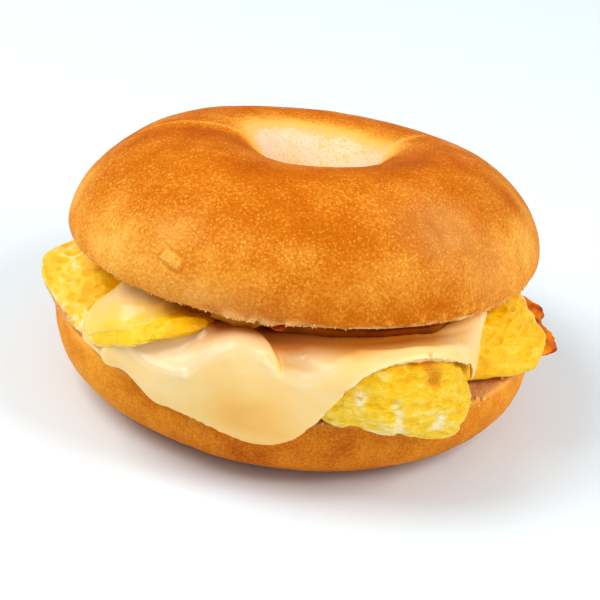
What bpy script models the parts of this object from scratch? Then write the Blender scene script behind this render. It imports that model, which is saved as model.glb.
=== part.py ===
"""Bagel sandwich: a bagel cut in two rings, with folded egg, melted cheese and bacon between.

All sizes below are in millimetres; build_mesh turns them into metres. Azimuths are degrees
round the hole, seen from above: 0 is right, -90 is the front, 90 is the back.
"""
import math

import bmesh
import bpy
import numpy as np

MM = 0.001

# Air left between pieces that touch
GAP = 0.35

# Where the hole's axis stands, so that the middle of the whole lies over the origin
AXIS_X = -0.15
AXIS_Y = 2.65

# Bottom ring
BOTTOM_RADIUS = 53.9
BOTTOM_CUT_HEIGHT = 20.5
BOTTOM_WIDEST_HEIGHT = 17.4
BOTTOM_FLAT_OUTER = 30.7
BOTTOM_FLAT_INNER = 18.0
BOTTOM_ROUNDNESS = 2.6
BOTTOM_OFF_AXIS = (-1.4, -2.6)

# Top ring, its cut face tipped up at the front
TOP_RADIUS = 54.0
TOP_RIM_RADIUS = 51.7
TOP_WIDEST_ABOVE_CUT = 3.1
TOP_CUT_HEIGHT = 34.05
TOP_CUT_FALL_RIGHT = 0.016
TOP_CUT_FALL_BACK = 0.126
TOP_ROUNDNESS = 1.735
CREST_HEIGHT = 26.0
CREST_RADIUS = 27.4

# Hole
HOLE_RADIUS = 6.7
HOLE_OFF_AXIS = (2.24, -0.55)
HOLE_ROUNDNESS = 2.43
HOLE_NECK_SHARE = 0.16

# Steps round the sandwich
STEPS_ROUND = 60


def smooth(low, high, value):
    """0 below low, 1 above high, with a soft change between."""
    t = np.clip((value - low) / (high - low), 0.0, 1.0)
    return t * t * (3.0 - 2.0 * t)


def around(stations, az):
    """Smooth closed curve through (azimuth, value) stations, read at az."""
    at = np.array([s[0] for s in stations], float)
    value = np.array([s[1] for s in stations], float)
    at = np.concatenate([at - 360.0, at, at + 360.0])
    value = np.tile(value, 3)
    slope = np.gradient(value, at)
    i = np.clip(np.searchsorted(at, az) - 1, 0, len(at) - 2)
    span = at[i + 1] - at[i]
    t = (az - at[i]) / span
    start = (1 + 2 * t) * (1 - t) ** 2 * value[i] + t * (1 - t) ** 2 * span * slope[i]
    end = t * t * (3 - 2 * t) * value[i + 1] - t * t * (1 - t) * span * slope[i + 1]
    return start + end


def through(points, count):
    """Smooth open curve through points shaped (number, azimuths, 2), as count rows."""
    points = np.asarray(points, float)
    before = 2 * points[:1] - points[1:2]
    after = 2 * points[-1:] - points[-2:-1]
    p = np.concatenate([before, points, after])
    rows = []
    for u in np.linspace(0.0, len(points) - 1.0, count):
        i = min(int(u), len(points) - 2)
        t = u - i
        a, b, c, d = p[i], p[i + 1], p[i + 2], p[i + 3]
        bend = (2 * a - 5 * b + 4 * c - d) * t * t + (3 * b - a - 3 * c + d) * t ** 3
        rows.append(b + 0.5 * ((c - a) * t + bend))
    return np.array(rows)


def place(r, z, az):
    """Points at radius r, height z and azimuth az, as an array ending in x, y, z."""
    r, z, az = np.broadcast_arrays(r, z, az)
    return np.stack([r * np.cos(np.radians(az)), r * np.sin(np.radians(az)), z], axis=-1)


def top_cut(x, y):
    """Height of the top ring's cut face."""
    return TOP_CUT_HEIGHT - TOP_CUT_FALL_RIGHT * x - TOP_CUT_FALL_BACK * y


def room(r, az):
    """Height between the two cut faces."""
    p = place(r, 0.0, az)
    return top_cut(p[..., 0], p[..., 1]) - BOTTOM_CUT_HEIGHT


def close_on_point(bm, row):
    """Close a round row on a point at its middle."""
    middle = [sum(v.co[i] for v in row) / len(row) for i in range(3)]
    tip = bm.verts.new(middle)
    for j in range(len(row)):
        bm.faces.new((row[j], row[(j + 1) % len(row)], tip))


def close_flat(bm, row):
    """Close a long row, upper line out and as many points back, by faces across it."""
    for j in range(len(row) // 2 - 1):
        a, b, c, d = row[j], row[j + 1], row[-2 - j], row[-1 - j]
        bm.faces.new((a, b, d))
        bm.faces.new((b, c, d))


def build_mesh(name, rows, colour, roughness, ends):
    """Closed solid from rows of points that each close on themselves.

    Ends is ring where the last row joins the first, point for round end rows, flat for long ones.
    """
    mesh = bpy.data.meshes.new(name)
    bm = bmesh.new()
    grid = []
    for row in rows:
        grid.append([bm.verts.new([float(c) * MM for c in point]) for point in row])
    count = len(grid[0])
    pairs = list(zip(grid, grid[1:]))
    if ends == "ring":
        pairs.append((grid[-1], grid[0]))
    for lower, upper in pairs:
        for j in range(count):
            k = (j + 1) % count
            bm.faces.new((lower[j], lower[k], upper[k]))
            bm.faces.new((lower[j], upper[k], upper[j]))
    for row in (grid[0], grid[-1]):
        if ends == "point":
            close_on_point(bm, row)
        if ends == "flat":
            close_flat(bm, row)
    bmesh.ops.recalc_face_normals(bm, faces=bm.faces)
    bm.to_mesh(mesh)
    bm.free()
    mesh.shade_smooth()
    mesh.set_sharp_from_angle(angle=math.radians(40))
    solid = bpy.data.objects.new(name, mesh)
    solid.location = (AXIS_X * MM, AXIS_Y * MM, 0.0)
    bpy.context.scene.collection.objects.link(solid)
    mesh.materials.append(plain_material(name, colour, roughness))
    return solid


def plain_material(name, colour, roughness):
    material = bpy.data.materials.new(name)
    material.use_nodes = True
    shader = material.node_tree.nodes["Principled BSDF"]
    shader.inputs["Base Color"].default_value = (*colour, 1.0)
    shader.inputs["Roughness"].default_value = roughness
    shader.inputs["Metallic"].default_value = 0.0
    return material


# Bread

def bun_bottom():
    az = np.arange(STEPS_ROUND) * 360.0 / STEPS_ROUND
    turn = np.radians(az)
    radius = BOTTOM_RADIUS * (1 + 0.028 * np.cos(2 * turn) - 0.031 * np.sin(2 * turn))
    rows = []

    def add(r, z, off):
        row = place(r, z, az)
        row[..., 0] += BOTTOM_OFF_AXIS[0] * off
        row[..., 1] += BOTTOM_OFF_AXIS[1] * off
        rows.append(row)

    add(BOTTOM_FLAT_INNER, 0.0, 0.0)
    add(BOTTOM_FLAT_OUTER, 0.0, 0.0)
    for a in np.linspace(0.0, math.pi / 2, 9)[1:]:
        out = math.sin(a) ** (2 / BOTTOM_ROUNDNESS)
        up = 1 - math.cos(a) ** (2 / BOTTOM_ROUNDNESS)
        add(BOTTOM_FLAT_OUTER + (radius - BOTTOM_FLAT_OUTER) * out, BOTTOM_WIDEST_HEIGHT * up, out)
    add(radius, BOTTOM_CUT_HEIGHT - 0.6, 1.0)
    add(radius - 0.5, BOTTOM_CUT_HEIGHT, 1.0)
    add((HOLE_RADIUS + radius) / 2, BOTTOM_CUT_HEIGHT, 0.5)
    add(HOLE_RADIUS, BOTTOM_CUT_HEIGHT, 0.0)
    for a in np.linspace(0.0, math.pi / 2, 5)[:-1]:
        z = 9.0 * (1 - math.sin(a))
        add(BOTTOM_FLAT_INNER - (BOTTOM_FLAT_INNER - HOLE_RADIUS) * math.cos(a), z, 0.0)
    build_mesh("bun_bottom", rows, (0.62, 0.30, 0.10), 0.6, "ring")


def bun_top():
    az = np.arange(STEPS_ROUND) * 360.0 / STEPS_ROUND
    turn = np.radians(az)
    cos, sin = np.cos(turn), np.sin(turn)
    radius = TOP_RADIUS * (1 - 0.002 * np.cos(2 * turn) + 0.038 * np.sin(2 * turn))
    crest = CREST_HEIGHT + 0.15 * cos - 1.77 * sin + 0.39 * np.cos(2 * turn) - 0.59 * np.sin(2 * turn)
    crest_r = CREST_RADIUS + 0.33 * cos - 0.62 * sin
    neck = HOLE_NECK_SHARE * crest
    rows = []

    def add(r, above_cut, off=0.0):
        row = place(r, 0.0, az)
        row[..., 0] += HOLE_OFF_AXIS[0] * off
        row[..., 1] += HOLE_OFF_AXIS[1] * off
        row[..., 2] = top_cut(row[..., 0], row[..., 1]) + above_cut
        rows.append(row)

    add(TOP_RIM_RADIUS - 0.6, 0.0)
    rim_turn = np.linspace(0.0, math.pi / 2, 4)
    for a in rim_turn[:-1]:
        add(TOP_RIM_RADIUS + (radius - TOP_RIM_RADIUS) * math.sin(a),
            0.5 + (TOP_WIDEST_ABOVE_CUT - 0.5) * (1 - math.cos(a)))
    for a in np.linspace(0.0, math.pi / 2, 12):
        out = math.cos(a) ** (2 / TOP_ROUNDNESS)
        up = math.sin(a) ** (2 / TOP_ROUNDNESS)
        add(crest_r + (radius - crest_r) * out,
            TOP_WIDEST_ABOVE_CUT + (crest - TOP_WIDEST_ABOVE_CUT) * up)
    for a in np.linspace(math.pi / 2, 0.0, 10)[1:]:
        inward = math.cos(a) ** (2 / HOLE_ROUNDNESS)
        up = math.sin(a) ** (2 / HOLE_ROUNDNESS)
        add(crest_r - (crest_r - HOLE_RADIUS) * inward, neck + (crest - neck) * up, math.cos(a))
    add(HOLE_RADIUS, 0.0, 1.0)
    add((HOLE_RADIUS + TOP_RIM_RADIUS) / 2, 0.0, 0.5)
    build_mesh("bun_top", rows, (0.66, 0.31, 0.09), 0.55, "ring")


# Lower folded egg: a layer right through, with a corner out at the left and one at the right

EGG_INNER_SHARE = 0.6
EGG_SHOULDER_RADIUS = 49.0
EGG_LUMP = 0.45
EGG_SIDE_BULGE = 0.3

# Shares of the edge's radius at which the layer's top is drawn
EGG_SHARES = (0.15, 0.4, 0.6, 0.72, 0.81, 0.88, 0.94, 0.985)

# Azimuth and radius of the layer's edge
EGG_EDGE = ((-175, 56.6), (-170, 59.6), (-165, 59.2), (-160, 58.4), (-155, 57.4), (-149, 56.0),
            (-144, 54.6), (-135, 54.0), (-124, 55.6), (-118, 56.4), (-108, 57.0), (-98, 55.4),
            (-88, 53.6), (-70, 53.0), (-55, 52.5), (-46, 51.0), (-41, 52.2), (-36, 55.2),
            (-30, 59.4), (-25, 60.6), (-22, 60.2), (-19.5, 58.2), (-17, 56.0), (-14, 53.4),
            (-10, 51.0), (0, 49.8), (20, 49.6), (45, 49.5), (70, 51.5), (95, 50.0), (125, 51.8),
            (150, 50.0), (170, 50.6), (180, 53.0))

# Azimuth and height of the layer at its shoulder, as a share of the room there
EGG_SHOULDER = ((-172, 0.74), (-160, 0.80), (-152, 0.70), (-144, 0.36), (-135, 0.28), (-122, 0.40),
                (-110, 0.52), (-100, 0.58), (-90, 0.49), (-80, 0.37), (-70, 0.33), (-52, 0.33),
                (-44, 0.52), (-37, 0.70), (-31, 0.80), (-25, 0.84), (-14, 0.84), (0, 0.76),
                (25, 0.66), (60, 0.62), (90, 0.58), (120, 0.56), (150, 0.60), (172, 0.68))

# Azimuth and height of the lip where the top face turns down into the edge
EGG_LIP = ((-175, 29.0), (-170, 28.0), (-165, 26.6), (-160, 25.6), (-155, 24.6), (-147, 23.4),
           (-135, 22.8), (-120, 25.4), (-108, 29.0), (-98, 31.0), (-88, 28.0), (-76, 24.5),
           (-55, 24.0), (-46, 24.0), (-38, 25.2), (-30, 25.8), (-25, 26.4), (-21, 27.4),
           (-17, 29.0), (-13, 30.6), (-8, 30.6), (0, 28.6), (15, 26.0), (45, 24.2), (90, 23.0),
           (135, 23.4), (165, 26.0), (180, 29.0))

# Azimuth and how far the edge is drawn in at its foot
EGG_UNDERCUT = ((-175, 1.6), (-168, 2.2), (-160, 1.6), (-154, 0.8), (-148, 0.3), (-142, 0.3),
                (-36, 0.3), (-31, 0.3), (-28, 0.6), (-25, 2.2), (-22, 2.6), (-17, 2.2), (-12, 1.0),
                (-5, 0.3), (5, 0.3), (155, 0.3), (165, 0.3))

# Azimuths of the filling's sections, closest at the front, where it hangs out
FILLING_AZ = np.concatenate([np.arange(-180.0, -150.0, 5.0), np.arange(-150.0, -8.0, 3.0),
                             np.arange(-4.5, 1.0, 4.5), np.arange(10.0, 175.0, 10.0)])

# Where the right bacon strip lies under the layer: azimuth and radius at which its floor has
# begun to rise, and at which it's up
FLOOR_RISE = ((-27.0, -24.0), (50.0, 40.0), (30.0, 34.5))


def egg_height(r, az):
    """Top of the lower egg at radius r."""
    inner = EGG_INNER_SHARE + (around(EGG_SHOULDER, az) - EGG_INNER_SHARE) * smooth(34.0, 48.0, r)
    layer = BOTTOM_CUT_HEIGHT + inner * room(np.minimum(r, EGG_SHOULDER_RADIUS), az)
    edge = around(EGG_EDGE, az)
    out = np.clip((r - EGG_SHOULDER_RADIUS) / np.maximum(edge - EGG_SHOULDER_RADIUS, 0.5), 0.0, 1.0)
    return layer + (around(EGG_LIP, az) - layer) * out ** 1.25


def egg_lumps(r, az):
    """Soft lumps where the lower egg shows."""
    p = place(r, 0.0, az)
    wave = np.sin(p[..., 0] * 0.55 + 1.3) * np.sin(p[..., 1] * 0.48 - 0.7)
    wave = wave + 0.6 * np.sin(p[..., 0] * 0.9 - p[..., 1] * 0.7)
    left = smooth(-150.0, -158.0, az)
    right = smooth(-36.0, -30.0, az) * smooth(5.0, -5.0, az)
    return EGG_LUMP * wave * smooth(49.0, 54.0, r) * np.maximum(left, right)


def egg_line(az):
    """Top of the lower egg at azimuths az, from the middle to the edge."""
    edge = around(EGG_EDGE, az)
    line = []
    for share in EGG_SHARES:
        r = edge * share
        line.append(np.stack([r, egg_height(r, az) + egg_lumps(r, az)], axis=-1))
    return np.array(line)


def egg_floor(r, az):
    """Underside of the lower egg, which rises over the bacon strip at the right."""
    near, far, inner = FLOOR_RISE
    over = smooth(*near, az) * smooth(*far, az) * smooth(*inner, r)
    return BOTTOM_CUT_HEIGHT + GAP + (BACON_THICK + 2 * BACON_WAVE + GAP) * over


def egg_lower():
    az = FILLING_AZ
    edge = around(EGG_EDGE, az)
    lip = egg_height(edge, az)
    floor = egg_floor(edge, az)
    rows = [place(point[:, 0], point[:, 1], az) for point in egg_line(az)]
    undercut = around(EGG_UNDERCUT, az)
    rows.append(place(edge + EGG_SIDE_BULGE, lip - 0.25 * (lip - floor), az))
    rows.append(place(edge + EGG_SIDE_BULGE - 0.6 * undercut, floor + 0.3 * (lip - floor), az))
    rows.append(place(edge - 0.5 - undercut, floor, az))
    for r in (FLOOR_RISE[2][1], FLOOR_RISE[2][0], 8.0):
        rows.append(place(r, egg_floor(r, az), az))
    build_mesh("egg_lower", rows, (0.90, 0.62, 0.08), 0.45, "point")


# How far to either side a piece feels what it lies on
REST_REACH = 1.2


def height_on(line, r):
    """Height of a line at radius r, or a little to either side where that is higher."""
    height = np.empty_like(r)
    for i in range(len(r)):
        rising = np.maximum.accumulate(line[:, i, 0])
        near = r[i] + np.array([-REST_REACH, 0.0, REST_REACH])
        near = np.minimum(near, max(rising[-1], r[i]))
        height[i] = np.interp(near, rising, line[:, i, 1]).max()
    return height


# Front flap of egg: lies on the lower egg at the front right and hangs over the bread's edge

# Azimuth and how far the flap bulges, 1 being full
FLAP_BULGE = ((-90, 0.12), (-86, 0.22), (-82, 0.38), (-79, 0.56), (-76, 0.75), (-72, 0.93),
              (-66, 0.98), (-60, 1.0), (-54, 0.98), (-51.5, 0.86), (-49.5, 0.5))

# Azimuth and height of the flap's flat top
FLAP_TOP = ((-90, 32.2), (-80, 33.6), (-70, 34.6), (-65, 34.7), (-60, 34.0), (-54, 32.4), (-49.5, 29.5))

# Azimuth and height of the flap's hanging tip
FLAP_TIP = ((-90, 25.5), (-84, 24.2), (-82, 23.5), (-79, 22.6), (-75, 21.4), (-71, 19.8), (-67, 19.4),
            (-65, 18.9), (-60, 17.2), (-55, 16.8), (-52, 18.6), (-49.5, 22.5))
FLAP_FROM = -90.0
FLAP_TO = -49.5
FLAP_INNER = 37.0
FLAP_FOOT_RADIUS = 54.5
FLAP_REACH = 63.0
FLAP_ROWS = 12


def flap_radius(r, az):
    """Radius r of the full flap, drawn in where the flap bulges less."""
    return FLAP_FOOT_RADIUS + (r - FLAP_FOOT_RADIUS) * around(FLAP_BULGE, az)


def flap_lines(az):
    """Upper and lower line of the flap at azimuths az, from inside to the tip."""
    top = around(FLAP_TOP, az)
    tip = around(FLAP_TIP, az)
    inner = np.full_like(az, FLAP_INNER)
    egg = egg_line(az)
    start = height_on(egg, inner) + GAP
    upper = [(inner, start + 0.6), (inner + 5, 0.5 * (start + top)), (inner + 12, top - 0.2),
             (flap_radius(57.4, az), top - 0.1), (flap_radius(60.8, az), top - 3.0),
             (flap_radius(FLAP_REACH, az), 0.45 * top + 0.55 * tip),
             (flap_radius(FLAP_REACH - 0.2, az), tip + 2.0), (flap_radius(61.2, az), tip)]
    foot = np.minimum(FLAP_FOOT_RADIUS + 2.3, flap_radius(FLAP_REACH, az) - 1.2)
    lower = [(flap_radius(59.6, az), tip + 0.7),
             (np.maximum(flap_radius(58.0, az), foot), np.maximum(tip + 2.0, 22.0))]
    for r in (54.0, 52.0, 46.0, FLAP_INNER):
        radius = np.full_like(az, r)
        lower.append((radius, height_on(egg, radius) + GAP))
    lower[2] = (lower[2][0], np.maximum(lower[2][1], 26.4))
    upper = through([np.stack(point, axis=-1) for point in upper], FLAP_ROWS)
    lower = through([np.stack(point, axis=-1) for point in lower], FLAP_ROWS)
    for row in lower:
        over = row[:, 0] < around(EGG_EDGE, az) + EGG_SIDE_BULGE + GAP
        row[:, 1] = np.where(over, np.maximum(row[:, 1], height_on(egg, row[:, 0]) + GAP), row[:, 1])
    return upper, lower


def egg_front():
    az = np.append(np.arange(FLAP_FROM, FLAP_TO, 3.0), FLAP_TO)
    line = np.concatenate(flap_lines(az))
    rows = [place(line[:, i, 0], line[:, i, 1], az[i]) for i in range(len(az))]
    build_mesh("egg_front", rows, (0.92, 0.66, 0.10), 0.45, "flat")


# Front cheese: a melted slice through the sandwich that hangs down at the front

CHEESE_THICK = 1.7
CHEESE_LEAST_THICK = 0.9
CHEESE_ROWS = 13

# Azimuth and thickness of the hanging edge
CHEESE_HANG_THICK = ((-150, 1.0), (-144, 1.1), (-134, 1.5), (-124, 2.2), (-108, 2.4), (-94, 2.2),
                     (-87, 1.3), (-80, 1.3), (-70, 1.6), (-50, 1.5), (-30, 1.5), (90, 1.5))

# Azimuth and radius where the slice leaves the filling
CHEESE_INNER = ((-166, 35.0), (-160, 39.5), (-155, 43.5), (-150, 46.0), (-145, 47.0), (-125, 47.0),
                (-60, 47.0), (-44, 46.5), (-38, 44.0),
                (-30, 40.5), (-24, 36.0), (-8, 34.0), (8, 36.0), (25, 44.0), (60, 46.0),
                (90, 45.5), (120, 46.5), (150, 44.0), (165, 36.0), (180, 34.0))

# Azimuth, then radius and height, of the brow, the ridge and the hanging edge
CHEESE_HANG = ((-150, 47.0, 27.5, 50.0, 26.5, 52.0, 25.0),
               (-146, 50.0, 27.0, 57.0, 24.4, 56.8, 22.9),
               (-140, 50.0, 27.2, 57.8, 24.3, 57.3, 22.5),
               (-134, 50.0, 27.7, 58.6, 24.6, 57.6, 22.2),
               (-128, 50.0, 29.3, 59.8, 26.6, 58.3, 22.6),
               (-124, 50.0, 30.6, 60.3, 28.6, 58.3, 20.2),
               (-120, 50.0, 32.0, 61.2, 29.2, 58.3, 17.6),
               (-116, 50.0, 33.6, 61.5, 30.0, 58.4, 18.3),
               (-112, 50.0, 35.0, 61.2, 31.3, 58.4, 17.6),
               (-106, 50.0, 36.5, 60.4, 34.0, 58.4, 16.7),
               (-100, 50.0, 37.2, 59.0, 36.3, 58.4, 15.4),
               (-95, 50.0, 37.1, 58.0, 35.6, 58.4, 15.0),
               (-91, 50.0, 36.8, 57.6, 34.4, 58.4, 15.6),
               (-88, 50.0, 36.8, 58.0, 34.0, 58.4, 17.4),
               (-85, 50.0, 36.7, 58.7, 34.1, 59.0, 21.2),
               (-82, 50.0, 36.7, 59.2, 34.6, 59.8, 25.4),
               (-79, 50.0, 36.6, 59.4, 35.4, 60.7, 30.0),
               (-76, 50.0, 36.5, 58.4, 36.6, 60.4, 33.8),
               (-72, 50.0, 36.4, 57.2, 37.3, 59.6, 36.2),
               (-66, 50.0, 36.3, 56.2, 37.6, 58.8, 37.2),
               (-60, 50.0, 36.1, 56.2, 37.4, 58.8, 36.7),
               (-55, 50.0, 35.7, 56.4, 36.6, 59.2, 35.3),
               (-52, 50.0, 35.4, 57.0, 35.2, 59.2, 32.3),
               (-49.5, 50.0, 35.6, 57.4, 32.6, 58.4, 25.0),
               (-47, 50.0, 35.5, 56.6, 31.2, 56.4, 22.0),
               (-44, 50.0, 35.4, 54.8, 29.8, 54.8, 23.4),
               (-42, 49.5, 35.4, 53.0, 30.8, 53.8, 27.4),
               (-39, 48.5, 35.4, 50.6, 33.6, 51.6, 31.0),
               (-36, 47.5, 35.4, 49.0, 34.6, 50.0, 32.8),
               (-33, 46.0, 35.2, 47.4, 34.9, 48.4, 34.0),
               (-30, 44.0, 34.6, 45.5, 34.4, 46.5, 34.0))
HANG_FROM = -148.0
HANG_TO = -31.0


def hang_station(column, az):
    return around([(s[0], s[column]) for s in CHEESE_HANG], az)


def cheese_support(r, az):
    """Top of what the front cheese lies on, and nothing beyond its edge."""
    base = np.where(r < around(EGG_EDGE, az) + EGG_SIDE_BULGE, height_on(egg_line(az), r), 0.0)
    near = np.clip(az, FLAP_FROM, FLAP_TO)
    upper, _ = flap_lines(near)
    flap = np.where(r < flap_radius(FLAP_REACH, near), height_on(upper, r), 0.0)
    over = (np.abs(az - near) < 3.5) & (r > FLAP_INNER - 4 * REST_REACH)
    return np.where(over, np.maximum(base, flap), base)


def cheese_line(az):
    """Upper line of the front cheese at azimuths az, from the middle to the edge."""
    inner = around(CHEESE_INNER, az)
    hang = smooth(HANG_FROM - 2, HANG_FROM + 2, az) * smooth(HANG_TO + 2, HANG_TO - 2, az)
    points = []
    for share in (0.15, 0.4, 0.62, 0.8, 0.92):
        r = inner * share
        points.append((r, cheese_support(r, az) + GAP + CHEESE_THICK))
    lie = cheese_support(inner, az) + GAP + CHEESE_THICK
    for column, past in ((1, 0.0), (3, 2.0), (5, 3.5)):
        r = inner + past + (hang_station(column, az) - inner - past) * hang
        z = lie + (hang_station(column + 1, az) - lie) * hang
        points.append((r, z))
    line = through(np.array([np.stack(point, axis=-1) for point in points]), CHEESE_ROWS)
    for row in line:
        row[:, 1] = np.maximum(row[:, 1], cheese_support(row[:, 0], az) + GAP + CHEESE_LEAST_THICK)
    return line


def clear_of_egg(row, az):
    """Shift an underside row so that it clears the lower egg and the flap."""
    r, z = row[:, 0], row[:, 1]
    lip = around(EGG_LIP, az)
    side = around(EGG_EDGE, az) + EGG_SIDE_BULGE + GAP
    r = np.where((z < lip) & (r > EGG_SHOULDER_RADIUS), np.maximum(r, side), r)
    beside = (az > FLAP_FROM - 3.0) & (az < -77.0) & (z < around(FLAP_TOP, az) - 1.5) & (r > 52.0)
    r = np.where(beside, np.maximum(r, flap_radius(FLAP_REACH, az) + GAP), r)
    row[:, 0] = r
    ends = np.maximum(smooth(-136.0, -148.0, az), smooth(-39.0, -34.0, az) * smooth(0.0, -20.0, az))
    row[:, 1] = np.maximum(z, cheese_support(r, az) + GAP + 0.6 * ends)


def below(line, thick):
    """A line at the stated depth under another, square to it."""
    run = np.gradient(line, axis=0)
    run = run / np.linalg.norm(run, axis=-1, keepdims=True)
    return line - thick[..., None] * np.stack([-run[..., 1], run[..., 0]], axis=-1)


def cheese_front():
    az = FILLING_AZ
    line = cheese_line(az)
    hang = np.linspace(0.0, 1.0, CHEESE_ROWS)[:, None] ** 2
    thick = CHEESE_THICK + (around(CHEESE_HANG_THICK, az) - CHEESE_THICK) * hang
    under = below(line, thick)
    for row in under:
        clear_of_egg(row, az)
    end = line[-1] - line[-2]
    end = end / np.linalg.norm(end, axis=-1, keepdims=True)
    tip = 0.5 * (line[-1] + under[-1]) + 0.8 * end
    every = np.concatenate([line, tip[None], under[:0:-2], under[:1]])
    rows = [place(row[:, 0], row[:, 1], az) for row in every]
    build_mesh("cheese_front", rows, (0.93, 0.76, 0.40), 0.3, "point")


def cheese_top(r, az):
    """Top of the front cheese at radius r, or of the egg where the slice has ended."""
    line = cheese_line(az)
    egg = height_on(egg_line(az), r)
    return np.maximum(np.where(r < line[..., 0].max(axis=0), height_on(line, r), egg), egg)


# Tongue of egg: a fold that lies on the front cheese at the left and leans out from under the top ring

TONGUE_FROM = -147.0
TONGUE_TO = -111.0
TONGUE_INNER = 30.0
TONGUE_BROW_RADIUS = 47.0
TONGUE_ROWS = 12

# Azimuth and height of the tongue's top where it comes out from under the bread
TONGUE_BROW = ((-147, 35.0), (-145, 35.8), (-142, 36.4), (-138, 36.8), (-130, 36.7), (-120, 36.7),
               (-111, 36.6))

# Azimuth, then radius and height, of the tongue's hanging edge
TONGUE_EDGE = ((-147, 50.0, 33.6), (-146, 53.4, 31.2), (-145, 56.2, 28.4), (-144, 57.8, 26.2),
               (-142, 58.5, 24.9), (-140, 59.0, 24.6), (-137, 59.8, 25.4), (-134, 60.3, 26.6),
               (-128, 60.4, 28.5), (-124, 60.4, 30.2), (-121, 59.5, 32.2), (-118, 58.4, 33.5),
               (-115, 57.0, 34.9), (-113, 55.0, 35.8), (-111, 52.0, 36.6))

# Azimuth and share of its full thickness that the tongue has there
TONGUE_FULL = ((-147, 0.3), (-146, 0.6), (-144, 0.9), (-141, 1.0), (-125, 1.0), (-118, 0.85),
               (-114, 0.6), (-111, 0.25))
TONGUE_LIP = 3.2


def tongue_lines(az):
    """Upper and lower line of the tongue at azimuths az, from inside to the edge."""
    brow = around(TONGUE_BROW, az)
    edge_r = around([s[:2] for s in TONGUE_EDGE], az)
    edge_z = around([(s[0], s[2]) for s in TONGUE_EDGE], az)
    full = around(TONGUE_FULL, az)

    def between(share, proud):
        return (TONGUE_BROW_RADIUS + (edge_r - TONGUE_BROW_RADIUS) * share + 0.6 * proud * full,
                brow + (edge_z + TONGUE_LIP * full - brow) * share + proud * full)

    def rest(r):
        radius = np.minimum(r, edge_r - 1.0)
        return radius, cheese_top(radius, az) + GAP + 0.15

    inner = np.full_like(az, TONGUE_INNER)
    floor = cheese_top(inner, az) + GAP + 0.15
    upper = [(inner, floor + 0.8), (inner + 3.5, floor + 2.6 * full),
             (inner + 10.0, 0.4 * floor + 0.6 * brow),
             (np.full_like(az, TONGUE_BROW_RADIUS), brow), between(0.4, 0.9), between(0.75, 0.9),
             (edge_r, edge_z + 0.6 * TONGUE_LIP * full), (edge_r - 0.3, edge_z + 0.3)]
    lower = [(edge_r - 1.6, edge_z + 0.1)]
    for r in (54.5, 51.0, 46.0, 38.0, TONGUE_INNER):
        lower.append(rest(np.full_like(az, r)))
    return (np.array([np.stack(point, axis=-1) for point in upper]),
            np.array([np.stack(point, axis=-1) for point in lower]))


def egg_upper():
    az = np.arange(TONGUE_FROM, TONGUE_TO + 1.0, 3.0)
    upper, lower = tongue_lines(az)
    line = np.concatenate([through(upper, TONGUE_ROWS), through(lower, TONGUE_ROWS)])
    rows = [place(line[:, i, 0], line[:, i, 1], az[i]) for i in range(len(az))]
    build_mesh("egg_upper", rows, (0.92, 0.66, 0.14), 0.4, "flat")


# Upper cheese: a thin melted slice over the tongue

GLAZE_THICK = 1.0
GLAZE_CLEARANCE = 0.55
GLAZE_ROWS = 9

# Azimuth and share of the tongue's upper line that the slice covers
GLAZE_TO = ((-147, 0.86), (-144, 0.84), (-140, 0.80), (-135, 0.76), (-130, 0.72), (-126, 0.68),
            (-120, 0.58))
GLAZE_START = 0.32


def along(line, share):
    """Points of a line at the given share of its rows, one share an azimuth."""
    at = share * (len(line) - 1)
    i = np.minimum(at.astype(int), len(line) - 2)
    t = (at - i)[:, None]
    each = np.arange(len(share))
    return line[i, each] * (1 - t) + line[i + 1, each] * t


def cheese_upper():
    az = np.arange(TONGUE_FROM, -119.0, 3.0)
    upper, _ = tongue_lines(az)
    tongue = through(upper, TONGUE_ROWS)
    last = around(GLAZE_TO, az)
    shares = np.linspace(0.0, 1.0, GLAZE_ROWS)
    line = np.array([along(tongue, GLAZE_START + (last - GLAZE_START) * u) for u in shares])
    edge = np.sin((0.12 + 0.76 * shares) * math.pi)[:, None] ** 0.35 * np.ones_like(az)
    low = below(line, -GLAZE_CLEARANCE * np.ones_like(edge))
    high = below(line, -(GLAZE_CLEARANCE + GLAZE_THICK * edge))
    both = np.concatenate([high, low[::-1]])
    rows = [place(both[:, i, 0], both[:, i, 1], az[i]) for i in range(len(az))]
    build_mesh("cheese_upper", rows, (0.93, 0.78, 0.45), 0.3, "flat")


# Bacon: two crisp strips, one on the bottom ring at the right, one under the top ring at the front

BACON_THICK = 1.5
BACON_WAVE = 0.35
BACON_PITCH = 11.0

# Distance to the front or back, and reach to the right, of the right strip's ragged edge
RIGHT_STRIP_EDGE = ((-21.8, 53.0), (-20.6, 56.2), (-18.5, 57.9), (-16.2, 59.1), (-13.9, 59.6),
                    (-11.1, 58.7), (-8.6, 57.3), (-6.5, 56.1), (-3.5, 56.1), (-1.2, 57.0),
                    (2.0, 56.6), (4.0, 55.4), (6.0, 52.3), (10.0, 51.0), (15.0, 50.2), (22.0, 47.6),
                    (30.0, 43.0))
RIGHT_STRIP_INNER = 37.0
RIGHT_STRIP_INNER_FROM = -14.0
RIGHT_STRIP_INNER_TO = 30.0

# Front strip: from left to right, its bowed middle line and half its width
FRONT_STRIP_LEFT = -20.0
FRONT_STRIP_RIGHT = 37.0
FRONT_STRIP_MIDDLE = -37.5
FRONT_STRIP_BOW = 3.6
FRONT_STRIP_HALF_WIDTH = 9.5
FRONT_STRIP_REACH = 51.2
FRONT_STRIP_WAVE = 0.22


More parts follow.
